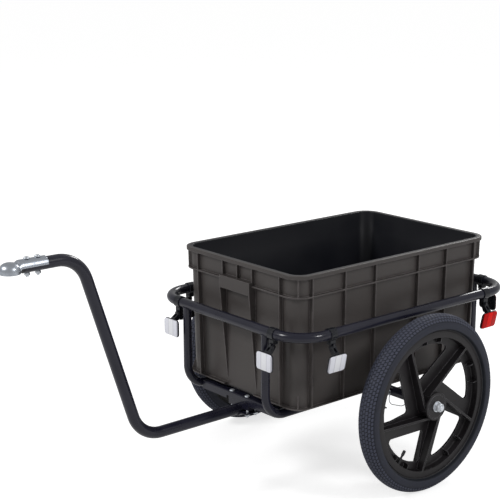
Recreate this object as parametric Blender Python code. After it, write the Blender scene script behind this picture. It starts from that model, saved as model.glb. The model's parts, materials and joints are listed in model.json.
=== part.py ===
"""A two-wheeled scooter trailer with a lift-out crate, modelled as its separate pieces.

Units are metres and +Z is up. The drawbar points to -Y and the trailer's left side is +X. The origin is the
middle of the trailer's outline on the ground. Pieces are placed from the foot of the axle line, which lies
AXLE_Y behind that origin.
"""

import math

import bmesh
import bpy
from mathutils import Matrix, Vector

# Clearances and roundness
GAP = 0.0003
SLIDING_GAP = 0.0005
TUBE_SIDES = 12
BORE_SIDES = 6
BEND_STEP = math.radians(18)
WHEEL_SIDES = 40
ROUND_SIDES = 12
TURN = math.radians(90)
FLATNESS = math.radians(0.05)

# Wheels
WHEEL_RADIUS = 0.200
TRACK = 0.594
TYRE_HALF_WIDTH = 0.0235
RIM_EDGE_RADIUS = 0.165
RIM_INNER_RADIUS = 0.1495
RIM_FLOOR = 0.0035
RIM_HALF_WIDTH = 0.0155
RIM_FLANGE = 0.0027
BEAD_WIDTH = 0.0040
WEB_THICKNESS = 0.005
WEB_INSET = 0.003
SPOKE_COUNT = 5
WINDOW_OUTER_RADIUS = 0.133
WINDOW_CORNER_RADIUS = 0.060
WINDOW_START = math.radians(116)
WINDOW_EDGE_DIRECTION = math.radians(34.5)
WINDOW_FILLET = 0.007
BLADE_OFFSET = 0.0295
BLADE_DIRECTION = math.radians(178.5)
BLADE_THICKNESS = 0.005
BLADE_HUB_HALF_HEIGHT = 0.022
HUB_HALF_LENGTH = 0.0285
HUB_CAP_RADIUS = 0.0315
HUB_CAP_THICKNESS = 0.0045
HUB_BARREL_RADIUS = 0.029
HUB_END_WALL = 0.006
HUB_HOLE_RADIUS = 0.009
VALVE_RADIUS = 0.0035
VALVE_BORE = 0.0012
VALVE_INSET = 0.0042
VALVE_TIP_RADIUS = 0.115
LEFT_VALVE_ANGLE = math.radians(232)
RIGHT_VALVE_ANGLE = math.radians(88)

# Axles and bearings
AXLE_RADIUS = 0.0075
AXLE_LENGTH_IN_TUBE = 0.095
AXLE_COLLAR_RADIUS = 0.0105
AXLE_COLLAR_LENGTH = 0.0235
THREAD_RADIUS = 0.0058
THREAD_LENGTH = 0.0155
BEARING_RADIUS = 0.016
BEARING_WIDTH = 0.009
SPACER_RADIUS = 0.0102
WASHER_RADIUS = 0.012
WASHER_THICKNESS = 0.002
NUT_WIDTH = 0.019
NUT_HEIGHT = 0.010
NUT_COLLAR_RADIUS = 0.0082
NUT_COLLAR_HEIGHT = 0.002

# Frame tubes
RIM_TUBE_RADIUS = 0.011
HAND_ROOM_ALONG = 0.059
HAND_ROOM_ACROSS = 0.077
RIM_BEND = 0.070
RIM_Z = 0.391
FRAME_SET_BACK = 0.0055
SEAM_X = -0.008
RAIL_RADIUS = 0.0095
RAIL_INSET = 0.1045
RAIL_Z = 0.1964
RAIL_BEND = 0.052
RAIL_MIDDLE_END = 0.008
CROSS_TUBE_RADIUS = 0.011
CROSS_TUBE_BORE = 0.0080
TUBE_WALL = 0.0015

# Lock pins
PIN_INSET = 0.051
PIN_RADIUS = 0.004
PIN_HEAD_RADIUS = 0.0065
PIN_HEAD_LENGTH = 0.009
PIN_TIP_Y = 0.046
BOW_WIRE_RADIUS = 0.001
BOW_BULGE = 0.024
BOW_CORNER = 0.018
BOW_REST = math.radians(160)

# Front channel, saddles and drawbar
CHANNEL_SET_BACK = 0.034
CHANNEL_DEPTH = 0.0365
CHANNEL_TOP_Z = 0.206
CHANNEL_HEIGHT = 0.0185
CHANNEL_SHEET = 0.0025
NOTCH_HALF_WIDTH = 0.038
NOTCH_HEIGHT = 0.007
SADDLE_BOLT_X = 0.026
SADDLE_BOLT_INSET = 0.0068
SADDLE_HALF_WIDTH = 0.034
SADDLE_SHEET = 0.0025
CLAMP_OPENING = 0.0035
LOWER_SADDLE_OVERHANG = 0.004
DRAWBAR_RADIUS = 0.0125
DRAWBAR_WALL = 0.002
DRAWBAR_REAR_REACH = 0.068
DRAWBAR_LOWER_REACH = 0.2634
DRAWBAR_LOWER_Z = 0.1725
DRAWBAR_UPPER_REACH = 0.3984
DRAWBAR_UPPER_Z = 0.5844
DRAWBAR_LOWER_BEND = 0.074
DRAWBAR_UPPER_BEND = 0.070
DRAWBAR_NOSE_REACH = 0.525
PLUG_HEAD = 0.004
PLUG_STEM = 0.015

# Coupling
SHELL_THICKNESS = 0.002
SHELL_LENGTH = 0.050
NECK_START = 0.0065
NECK_END = 0.015
NECK_HALF_WIDTH = 0.015
NECK_RISE = 0.0105
NECK_DROP = 0.007
CUP_RADIUS = 0.021
CUP_REACH = 0.0265
CUP_WALL = 0.003
CUP_BOTTOM_Z = 0.5755
CUP_TOP_Z = 0.597
COUPLING_BOLT_PLACES = (0.010, 0.034)

# Bolts
BOLT_RADIUS = 0.003
BOLT_HEAD_RADIUS = 0.006
BOLT_HEAD_HEIGHT = 0.004
BOLT_NUT_WIDTH = 0.010
BOLT_NUT_HEIGHT = 0.005
BOLT_END = 0.003

# Crate
CRATE_LENGTH = 0.600
CRATE_WIDTH = 0.400
CRATE_HEIGHT = 0.300
CRATE_LIP = 0.0025
CRATE_LIP_HEIGHT = 0.008
CRATE_LIP_CHAMFER = 0.0015
CRATE_CORNER = 0.042
CRATE_SKIRT = 0.050
CRATE_SKIRT_INSET = 0.0085
CRATE_WALL_INSET = 0.010
CRATE_WALL_DRAFT = 0.001
CRATE_FOOT_DRAFT_Y = 0.005
CRATE_FOOT_DRAFT_X = 0.004
CRATE_FOOT_GUSSET = 0.035
CRATE_WALL = 0.003
CRATE_FLOOR = 0.004
CRATE_LEDGE = 0.003
CRATE_FOOT_CHAMFER = 0.005
CRATE_FOOT_HEIGHT = 0.007
CRATE_FIN = 0.0026
CRATE_FIN_STEP = 0.0006
CRATE_SIDE_FINS = (-0.4225, -0.265, -0.1125, 0.1125, 0.265, 0.4225)
CRATE_END_FIN = 0.345
CRATE_GRIP_HALF_WIDTH = 0.051
CRATE_GRIP_OUT = 0.005
CRATE_GRIP_DROP = 0.018
CRATE_GRIP_RISE = 0.010

# Reflectors
CLAMP_END_INSET = 0.0785
CLAMP_SIDE_INSET = 0.0885
BAND_THICKNESS = 0.002
BAND_HALF_WIDTH = 0.0085
LUG_HALF_WIDTH = 0.007
LUG_DEPTH = 0.010
KNUCKLE_OUT = 0.005
KNUCKLE_DOWN = 0.027
KNUCKLE_RADIUS = 0.0055
KNUCKLE_HALF_WIDTH = 0.006
TONGUE_HALF_WIDTH = 0.0026
KNUCKLE_PIN_RADIUS = 0.0025
REFLECTOR_WIDTH = 0.050
REFLECTOR_HEIGHT = 0.040
REFLECTOR_CORNER = 0.008
REFLECTOR_DROP = 0.0285
HOUSING_BACK = 0.0164
HOUSING_THICKNESS = 0.0035
LENS_THICKNESS = 0.0025
LENS_MARGIN = 0.0012
SIDE_TILT = math.radians(12)

# Places that follow from the sizes
RIM_LENGTH = CRATE_LENGTH + HAND_ROOM_ALONG
RIM_WIDTH = CRATE_WIDTH + HAND_ROOM_ACROSS
RIM_FRONT_Y = FRAME_SET_BACK - RIM_LENGTH / 2
RIM_REAR_Y = FRAME_SET_BACK + RIM_LENGTH / 2
RAIL_X = RIM_WIDTH / 2 - RAIL_INSET
CROSS_TUBE_HALF_LENGTH = TRACK / 2 - HUB_HALF_LENGTH - AXLE_COLLAR_LENGTH
PIN_X = CROSS_TUBE_HALF_LENGTH - PIN_INSET
CHANNEL_FRONT_Y = RIM_FRONT_Y + CHANNEL_SET_BACK
DRAWBAR_REAR_Y = CHANNEL_FRONT_Y + DRAWBAR_REAR_REACH
DRAWBAR_LOWER_CORNER = (CHANNEL_FRONT_Y - DRAWBAR_LOWER_REACH, DRAWBAR_LOWER_Z)
DRAWBAR_UPPER_CORNER = (CHANNEL_FRONT_Y - DRAWBAR_UPPER_REACH, DRAWBAR_UPPER_Z)
DRAWBAR_NOSE_Y = CHANNEL_FRONT_Y - DRAWBAR_NOSE_REACH
CLAMP_FRONT_X = RIM_WIDTH / 2 - CLAMP_END_INSET
CLAMP_SIDE_Y = RIM_LENGTH / 2 - CLAMP_SIDE_INSET
REFLECTOR_REACH = KNUCKLE_OUT + HOUSING_BACK + HOUSING_THICKNESS + GAP + LENS_THICKNESS
CUP_Y = DRAWBAR_NOSE_Y - CUP_REACH
FRONT_END_Y = CUP_Y - CUP_RADIUS
REAR_END_Y = RIM_REAR_Y + REFLECTOR_REACH
AXLE_Y = -(FRONT_END_Y + REAR_END_Y) / 2
CRATE_BASE_Z = WHEEL_RADIUS + CROSS_TUBE_RADIUS + GAP

X_AXIS = Vector((1, 0, 0))
Y_AXIS = Vector((0, 1, 0))
Z_AXIS = Vector((0, 0, 1))


def clear_scene():
    """Remove the objects that a new file starts with."""
    for thing in list(bpy.data.objects):
        bpy.data.objects.remove(thing, do_unlink=True)


def make_material(name, colour, roughness, metallic=0.0):
    """Make a plain finish from a colour, a roughness and a metallic value."""
    material = bpy.data.materials.new(name)
    material.use_nodes = True
    shader = material.node_tree.nodes["Principled BSDF"]
    shader.inputs["Base Color"].default_value = (*colour, 1.0)
    shader.inputs["Roughness"].default_value = roughness
    shader.inputs["Metallic"].default_value = metallic
    material.diffuse_color = (*colour, 1.0)
    return material


def make_empty(name, place, parent=None, turn=0.0):
    """Make an empty that carries pieces, at a place under its parent, turned about Z."""
    empty = bpy.data.objects.new(name, None)
    bpy.context.collection.objects.link(empty)
    empty.location = place
    empty.rotation_euler = (0.0, 0.0, turn)
    empty.parent = parent
    return empty


def make_piece(name, mesh, material, parent, place=(0, 0, 0), turn_x=0.0):
    """Make a named piece from a mesh that other pieces may share."""
    piece = bpy.data.objects.new(name, mesh)
    bpy.context.collection.objects.link(piece)
    if not mesh.materials:
        mesh.materials.append(material)
    piece.location = place
    piece.rotation_euler = (turn_x, 0.0, 0.0)
    piece.parent = parent
    return piece


def finish_mesh(name, work, smooth=True):
    """Turn a bmesh into a mesh whose faces point outwards."""
    bmesh.ops.remove_doubles(work, verts=work.verts, dist=1e-7)
    bmesh.ops.recalc_face_normals(work, faces=work.faces)
    mesh = bpy.data.meshes.new(name)
    work.to_mesh(mesh)
    work.free()
    if smooth:
        mesh.shade_smooth()
        mesh.set_sharp_from_angle(angle=math.radians(35))
    return mesh


def shape_with(name, body, added=(), removed=()):
    """Join meshes to a body, cut others out of it and return the result as one mesh."""
    base = bpy.data.objects.new(name, body)
    bpy.context.collection.objects.link(base)
    helpers = []
    for operation, meshes in (("UNION", added), ("DIFFERENCE", removed)):
        for mesh in meshes:
            helper = bpy.data.objects.new(name + "_tool", mesh)
            bpy.context.collection.objects.link(helper)
            helpers.append(helper)
            step = base.modifiers.new(operation, "BOOLEAN")
            step.operation = operation
            step.solver = "EXACT"
            step.object = helper
    bpy.context.view_layer.update()
    evaluated = base.evaluated_get(bpy.context.evaluated_depsgraph_get())
    result = bpy.data.meshes.new_from_object(evaluated)
    result.name = name
    for thing in (base, *helpers):
        bpy.data.objects.remove(thing, do_unlink=True)
    result.shade_smooth()
    result.set_sharp_from_angle(angle=math.radians(35))
    return result


def bent_path(corners, bends):
    """Return stations (place, direction) along straight runs joined by round bends."""
    corners = [Vector(corner) for corner in corners]
    runs = [(after - before).normalized() for before, after in zip(corners, corners[1:])]
    stations = [(corners[0], runs[0])]
    for corner, arriving, leaving, bend in zip(corners[1:], runs, runs[1:], bends):
        turn = arriving.angle(leaving)
        inward = (leaving - arriving * math.cos(turn)) / math.sin(turn)
        start = corner - arriving * bend * math.tan(turn / 2)
        centre = start + inward * bend
        steps = max(2, round(turn / BEND_STEP))
        for number in range(steps + 1):
            angle = turn * number / steps
            place = centre + bend * (arriving * math.sin(angle) - inward * math.cos(angle))
            stations.append((place, arriving * math.cos(angle) + inward * math.sin(angle)))
    stations.append((corners[-1], runs[-1]))
    return stations


def ring_points(place, direction, across, radius, sides):
    """Return points round a station, and the direction across that the next ring starts from."""
    across = (across - direction * across.dot(direction)).normalized()
    other = direction.cross(across)
    points = []
    for number in range(sides):
        angle = 2 * math.pi * number / sides
        points.append(place + radius * (across * math.cos(angle) + other * math.sin(angle)))
    return points, across


def tube_mesh(name, stations, radius, across, bore=0.0, sides=TUBE_SIDES, bore_sides=BORE_SIDES):
    """Sweep a round section along stations, hollow where a bore is given."""
    work = bmesh.new()
    outer = []
    inner = []
    for place, direction in stations:
        points, across = ring_points(place, direction, across, radius, sides)
        outer.append([work.verts.new(point) for point in points])
        if bore:
            points, across = ring_points(place, direction, across, bore, bore_sides)
            inner.append([work.verts.new(point) for point in points])
    for rings in (outer, inner):
        for ring, after in zip(rings, rings[1:]):
            add_band(work, ring, after)
    for end in (0, -1):
        if bore:
            add_annulus(work, outer[end], inner[end])
        else:
            work.faces.new(outer[end])
    return finish_mesh(name, work)


def add_band(work, ring, after):
    """Join two rings of equal count with quads."""
    count = len(ring)
    for number in range(count):
        nearby = (number + 1) % count
        work.faces.new((ring[number], ring[nearby], after[nearby], after[number]))


def add_annulus(work, outer, inner):
    """Fill the face between an outer ring and an inner ring whose count divides the outer one's."""
    share = len(outer) // len(inner)
    for number in range(len(inner)):
        nearby = (number + 1) % len(inner)
        arc = [outer[(number * share + step) % len(outer)] for step in range(share + 1)]
        work.faces.new((*arc, inner[nearby], inner[number]))


def round_section(radius):
    """Return the radius function of a round section."""
    return lambda angle: radius


def hex_section(width):
    """Return the radius function of a hexagon with this width across its flats."""
    sixth = math.radians(60)
    return lambda angle: width / 2 / math.cos((angle + 1e-9) % sixth - sixth / 2)


def lathe_mesh(name, profile, sides=ROUND_SIDES, closed=False, axis=Z_AXIS, start=0.0):
    """Turn a profile of (section, height) about an axis; a section of 0 is a point on the axis."""
    work = bmesh.new()
    turn = Z_AXIS.rotation_difference(axis).to_matrix()
    rings = []
    for section, height in profile:
        if section == 0:
            rings.append([work.verts.new(turn @ Vector((0, 0, height)))])
            continue
        reach = section if callable(section) else round_section(section)
        ring = []
        for number in range(sides):
            angle = start + 2 * math.pi * number / sides
            radius = reach(angle)
            point = Vector((radius * math.cos(angle), radius * math.sin(angle), height))
            ring.append(work.verts.new(turn @ point))
        rings.append(ring)
    pairs = list(zip(rings, rings[1:]))
    if closed:
        pairs.append((rings[-1], rings[0]))
    for ring, after in pairs:
        if len(ring) == 1 or len(after) == 1:
            point, circle = (ring[0], after) if len(ring) == 1 else (after[0], ring)
            for number in range(sides):
                work.faces.new((point, circle[number], circle[(number + 1) % sides]))
        else:
            add_band(work, ring, after)
    return finish_mesh(name, work)


def prism_mesh(name, outline, low, high, axes=(X_AXIS, Y_AXIS, Z_AXIS)):
    """Extrude an outline of (u, v) points from low to high; axes are the u, v and height directions."""
    work = bmesh.new()
    u_axis, v_axis, height_axis = axes
    ends = []
    for height in (low, high):
        points = [u_axis * u + v_axis * v + height_axis * height for u, v in outline]
        ends.append([work.verts.new(point) for point in points])
    add_band(work, ends[0], ends[1])
    work.faces.new(ends[0])
    work.faces.new(ends[1])
    return finish_mesh(name, work)


def box_mesh(name, low, high):
    """Make a box between two corners."""
    outline = [(low[0], low[1]), (high[0], low[1]), (high[0], high[1]), (low[0], high[1])]
    return prism_mesh(name, outline, low[2], high[2])


def rod_mesh(name, start, end, radius, sides=8):
    """Make a round rod between two points, as a pin or as a cutter for a hole."""
    start = Vector(start)
    end = Vector(end)
    direction = (end - start).normalized()
    across = X_AXIS if abs(direction.x) < 0.9 else Z_AXIS
    return tube_mesh(name, [(start, direction), (end, direction)], radius, across, sides=sides)


def arc_points(centre, radius, first, last, steps):
    """Return points of an arc from one angle to another."""
    points = []
    for number in range(steps + 1):
        angle = first + (last - first) * number / steps
        points.append((centre[0] + radius * math.cos(angle), centre[1] + radius * math.sin(angle)))
    return points


def rounded_outline(corners, steps=2):
    """Return an outline whose corners (u, v, fillet) are rounded where their fillet isn't 0."""
    outline = []
    count = len(corners)
    for number, (u, v, fillet) in enumerate(corners):
        corner = Vector((u, v, 0))
        if not fillet:
            outline.append((u, v))
            continue
        before = Vector((*corners[number - 1][:2], 0))
        after = Vector((*corners[(number + 1) % count][:2], 0))
        path = bent_path((before, corner, after), (fillet,))[1:-1]
        chosen = [path[0][0]]
        for step in range(1, steps):
            chosen.append(path[round((len(path) - 1) * step / steps)][0])
        chosen.append(path[-1][0])
        outline.extend((place.x, place.y) for place in chosen)
    return outline


def rounded_rectangle(width, height, corner, steps=2):
    """Return a rectangle's outline with round corners, centred on its middle."""
    outline = []
    centres = ((1, 1), (-1, 1), (-1, -1), (1, -1))
    for number, (side_u, side_v) in enumerate(centres):
        centre = (side_u * (width / 2 - corner), side_v * (height / 2 - corner))
        outline.extend(arc_points(centre, corner, number * TURN, (number + 1) * TURN, steps))
    return outline


def polar(radius, angle):
    """Return the (u, v) point at a radius and an angle."""
    return radius * math.cos(angle), radius * math.sin(angle)


def build_rim_tube(finish, trailer):
    """Bend one tube into the rounded rectangle that the crate hangs in, butted in its rear run."""
    half_width = RIM_WIDTH / 2
    corners = (
        (SEAM_X + GAP / 2, RIM_REAR_Y, RIM_Z),
        (half_width, RIM_REAR_Y, RIM_Z),
        (half_width, RIM_FRONT_Y, RIM_Z),
        (-half_width, RIM_FRONT_Y, RIM_Z),
        (-half_width, RIM_REAR_Y, RIM_Z),
        (SEAM_X - GAP / 2, RIM_REAR_Y, RIM_Z),
    )
    stations = bent_path(corners, [RIM_BEND] * 4)
    mesh = tube_mesh("rim_tube", stations, RIM_TUBE_RADIUS, Z_AXIS, RIM_TUBE_RADIUS - TUBE_WALL)
    make_piece("rim_tube", mesh, finish, trailer)


def build_rails(finish, trailer):
    """Bend the four half rails: a post under the rim tube, a bend and a run to the cross tube."""
    cope_radius = RIM_TUBE_RADIUS + GAP
    cross_cope = rod_mesh(
        "cross_cope",
        (-RIM_WIDTH, 0, WHEEL_RADIUS),
        (RIM_WIDTH, 0, WHEEL_RADIUS),
        CROSS_TUBE_RADIUS + GAP,
        sides=TUBE_SIDES,
    )
    for end_name, end_y, side_of_axle in (("front", RIM_FRONT_Y, -1), ("rear", RIM_REAR_Y, 1)):
        rim_cope = rod_mesh(
            "rim_cope", (-RIM_WIDTH, end_y, RIM_Z), (RIM_WIDTH, end_y, RIM_Z), cope_radius, sides=TUBE_SIDES
        )
        corners = (
            (0, end_y, RIM_Z),
            (0, end_y, RAIL_Z),
            (0, side_of_axle * RAIL_MIDDLE_END, RAIL_Z),
        )
        stations = bent_path(corners, [RAIL_BEND])
        plain = tube_mesh("plain_rail", stations, RAIL_RADIUS, X_AXIS, RAIL_RADIUS - TUBE_WALL)
        mesh = shape_with("rail_" + end_name, plain, removed=(rim_cope, cross_cope))
        for side_name, side in (("left", 1), ("right", -1)):
            make_piece(f"rail_{side_name}_{end_name}", mesh, finish, trailer, (side * RAIL_X, 0, 0))


def build_cross_tube(finish, trailer):
    """Make the straight tube across the frame that holds both stub axles, drilled for the lock pins."""
    stations = [
        (Vector((-CROSS_TUBE_HALF_LENGTH, 0, WHEEL_RADIUS)), X_AXIS),
        (Vector((CROSS_TUBE_HALF_LENGTH, 0, WHEEL_RADIUS)), X_AXIS),
    ]
    plain = tube_mesh(
        "plain_cross_tube", stations, CROSS_TUBE_RADIUS, Z_AXIS, CROSS_TUBE_BORE, bore_sides=TUBE_SIDES
    )
    holes = [pin_hole("cross_tube_hole", side * PIN_X, WHEEL_RADIUS) for side in (-1, 1)]
    make_piece("cross_tube", shape_with("cross_tube", plain, removed=holes), finish, trailer)


def pin_hole(name, x, z):
    """Make the cutter of the hole that a lock pin passes through."""
    reach = 2 * CROSS_TUBE_RADIUS
    return rod_mesh(name, (x, -reach, z), (x, reach, z), PIN_RADIUS + SLIDING_GAP)


def saddle_bolt_places():
    """Return the (x, y) places of the four bolts through the channel."""
    front = CHANNEL_FRONT_Y + SADDLE_BOLT_INSET
    rear = CHANNEL_FRONT_Y + CHANNEL_DEPTH - SADDLE_BOLT_INSET
    return [(x, y) for y in (front, rear) for x in (SADDLE_BOLT_X, -SADDLE_BOLT_X)]


def saddle_holes(low, high):
    """Make the cutters of the four bolt holes between two heights."""
    radius = BOLT_RADIUS + GAP
    return [rod_mesh("bolt_hole", (x, y, low), (x, y, high), radius) for x, y in saddle_bolt_places()]


def build_channel(finish, trailer):
    """Fold the sheet channel between the front bends, notched over the drawbar."""
    front = CHANNEL_FRONT_Y
    rear = front + CHANNEL_DEPTH
    top = CHANNEL_TOP_Z
    foot = top - CHANNEL_HEIGHT
    sheet = CHANNEL_SHEET
    outline = (
        (front, foot),
        (front, top),
        (rear, top),
        (rear, foot),
        (rear - sheet, foot),
        (rear - sheet, top - sheet),
        (front + sheet, top - sheet),
        (front + sheet, foot),
    )
    half_length = RAIL_X - RAIL_RADIUS - GAP
    plain = prism_mesh("plain_channel", outline, -half_length, half_length, (Y_AXIS, Z_AXIS, X_AXIS))
    notch = box_mesh(
        "channel_notch",
        (-NOTCH_HALF_WIDTH, front - sheet, foot - sheet),
        (NOTCH_HALF_WIDTH, front + 2 * sheet, foot + NOTCH_HEIGHT),
    )
    rear_notch = box_mesh(
        "channel_rear_notch",
        (-NOTCH_HALF_WIDTH, rear - 2 * sheet, foot - sheet),
        (NOTCH_HALF_WIDTH, rear + sheet, foot + NOTCH_HEIGHT),
    )
    holes = saddle_holes(top - 2 * sheet, top + sheet)
    mesh = shape_with("front_channel", plain, removed=(notch, rear_notch, *holes))
    make_piece("front_channel", mesh, finish, trailer)


def build_saddles(finish, trailer):
    """Make the block over the drawbar and the stamped half clamp under it."""
    tube_z = DRAWBAR_LOWER_CORNER[1]
    groove = DRAWBAR_RADIUS + GAP
    side_gap = CHANNEL_SHEET + GAP
    front = CHANNEL_FRONT_Y + side_gap
    rear = CHANNEL_FRONT_Y + CHANNEL_DEPTH - side_gap
    block_top = CHANNEL_TOP_Z - CHANNEL_SHEET - GAP
    block_foot = tube_z + CLAMP_OPENING
    half_opening = math.asin(CLAMP_OPENING / groove)
    arch = arc_points((0, tube_z), groove, half_opening, math.pi - half_opening, 8)
    outline = [
        (SADDLE_HALF_WIDTH, block_foot),
        (SADDLE_HALF_WIDTH, block_top),
        (-SADDLE_HALF_WIDTH, block_top),
        (-SADDLE_HALF_WIDTH, block_foot),
        *reversed(arch),
    ]
    axes = (X_AXIS, Z_AXIS, Y_AXIS)
    plain = prism_mesh("plain_block", outline, front, rear, axes)
    holes = saddle_holes(block_foot - CHANNEL_SHEET, block_top + CHANNEL_SHEET)
    mesh = shape_with("upper_saddle", plain, removed=holes)
    make_piece("upper_saddle", mesh, finish, trailer)

    wing_top = -CLAMP_OPENING
    wing_foot = wing_top - SADDLE_SHEET
    outer = groove + SADDLE_SHEET
    inner_dip = math.asin(CLAMP_OPENING / groove)
    outer_dip = math.asin((CLAMP_OPENING + SADDLE_SHEET) / outer)
    inner_arc = arc_points((0, tube_z), groove, -inner_dip, inner_dip - math.pi, 8)
    outer_arc = arc_points((0, tube_z), outer, outer_dip - math.pi, -outer_dip, 8)
    outline = [
        (SADDLE_HALF_WIDTH, tube_z + wing_foot),
        (SADDLE_HALF_WIDTH, tube_z + wing_top),
        *inner_arc,
        (-SADDLE_HALF_WIDTH, tube_z + wing_top),
        (-SADDLE_HALF_WIDTH, tube_z + wing_foot),
        *outer_arc,
    ]
    overhang = LOWER_SADDLE_OVERHANG
    low = CHANNEL_FRONT_Y - overhang
    high = CHANNEL_FRONT_Y + CHANNEL_DEPTH + overhang
    plain = prism_mesh("plain_clamp", outline, low, high, axes)
    holes = saddle_holes(tube_z + wing_foot - SADDLE_SHEET, tube_z)
    mesh = shape_with("lower_saddle", plain, removed=holes)
    make_piece("lower_saddle", mesh, finish, trailer)


def bolt_mesh(name, grip):
    """Turn a domed bolt with its nut: z = 0 is under the head, and the nut is grip below it."""
    shoulder = BOLT_HEAD_RADIUS * 0.72
    nut_foot = -grip - BOLT_NUT_HEIGHT
    profile = (
        (0, BOLT_HEAD_HEIGHT),
        (shoulder, BOLT_HEAD_HEIGHT * 0.8),
        (BOLT_HEAD_RADIUS, BOLT_HEAD_HEIGHT * 0.2),
        (BOLT_HEAD_RADIUS, 0),
        (BOLT_RADIUS, 0),
        (BOLT_RADIUS, -grip),
        (hex_section(BOLT_NUT_WIDTH), -grip),
        (hex_section(BOLT_NUT_WIDTH), nut_foot),
        (BOLT_RADIUS, nut_foot),
        (BOLT_RADIUS, nut_foot - BOLT_END),
        (0, nut_foot - BOLT_END),
    )
    return lathe_mesh(name, profile)


def build_saddle_bolts(finish, trailer):
    """Place the four bolts that clamp the drawbar between its saddles."""
    wing_foot = DRAWBAR_LOWER_CORNER[1] - CLAMP_OPENING - SADDLE_SHEET
    grip = CHANNEL_TOP_Z - wing_foot + 2 * GAP
    mesh = bolt_mesh("saddle_bolt", grip)
    for number, (x, y) in enumerate(saddle_bolt_places(), start=1):
        make_piece(f"saddle_bolt_{number}", mesh, finish, trailer, (x, y, CHANNEL_TOP_Z + GAP))


def drawbar_nose():
    """Return the centre of the drawbar's front end."""
    return Vector((0, DRAWBAR_NOSE_Y, DRAWBAR_UPPER_CORNER[1]))


def coupling_bolt_holes():
    """Make the cutters of the two bolt holes through the coupling and the drawbar."""
    reach = Z_AXIS * 2 * DRAWBAR_RADIUS
    holes = []
    for distance in COUPLING_BOLT_PLACES:
        middle = drawbar_nose() + Y_AXIS * distance
        holes.append(rod_mesh("coupling_hole", middle - reach, middle + reach, BOLT_RADIUS + GAP))
    return holes


def build_drawbar(finish, plug_finish, trailer):
    """Bend the drawbar from the saddles up to the coupling, and plug both its ends."""
    nose = drawbar_nose()
    corners = (
        (0, DRAWBAR_REAR_Y, DRAWBAR_LOWER_CORNER[1]),
        (0, *DRAWBAR_LOWER_CORNER),
        (0, *DRAWBAR_UPPER_CORNER),
        nose,
    )
    stations = bent_path(corners, (DRAWBAR_LOWER_BEND, DRAWBAR_UPPER_BEND))
    bore = DRAWBAR_RADIUS - DRAWBAR_WALL
    plain = tube_mesh("plain_drawbar", stations, DRAWBAR_RADIUS, X_AXIS, bore, bore_sides=TUBE_SIDES)
    mesh = shape_with("drawbar_tube", plain, removed=coupling_bolt_holes())
    make_piece("drawbar_tube", mesh, finish, trailer)

    stem = bore - 2 * GAP
    profile = (
        (0, PLUG_HEAD + GAP),
        (DRAWBAR_RADIUS * 0.6, PLUG_HEAD * 0.85),
        (DRAWBAR_RADIUS, GAP + PLUG_HEAD * 0.3),
        (DRAWBAR_RADIUS, GAP),
        (stem, GAP),
        (stem, -PLUG_STEM),
        (0, -PLUG_STEM),
    )
    front_plug = lathe_mesh("drawbar_front_plug", shorten_stem(profile), axis=-Y_AXIS)
    make_piece("drawbar_front_plug", front_plug, plug_finish, trailer, nose)
    rear_plug = lathe_mesh("drawbar_rear_plug", profile, axis=Y_AXIS)
    rear = (0, DRAWBAR_REAR_Y, DRAWBAR_LOWER_CORNER[1])
    make_piece("drawbar_rear_plug", rear_plug, plug_finish, trailer, rear)


def shorten_stem(profile):
    """Return a plug's profile with its stem ending ahead of the first coupling bolt."""
    limit = BOLT_RADIUS + 2 * GAP - COUPLING_BOLT_PLACES[0]
    return tuple((section, max(height, limit)) for section, height in profile)


def half_section(half_width, rise, drop):
    """Return an arched section in (x, z) whose sides go on down below the arch by the drop."""
    arch = [(half_width * x, rise * z) for x, z in arc_points((0, 0), 1.0, 0, math.pi, 9)]
    return [(half_width, -drop), *arch, (-half_width, -drop)]


def loft_mesh(name, sections):
    """Join sections of (y, outline in x and z) into one solid."""
    work = bmesh.new()
    rings = [[work.verts.new((x, y, z)) for x, z in outline] for y, outline in sections]
    for ring, after in zip(rings, rings[1:]):
        add_band(work, ring, after)
    work.faces.new(rings[0])
    work.faces.new(rings[-1])
    return finish_mesh(name, work)


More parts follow.
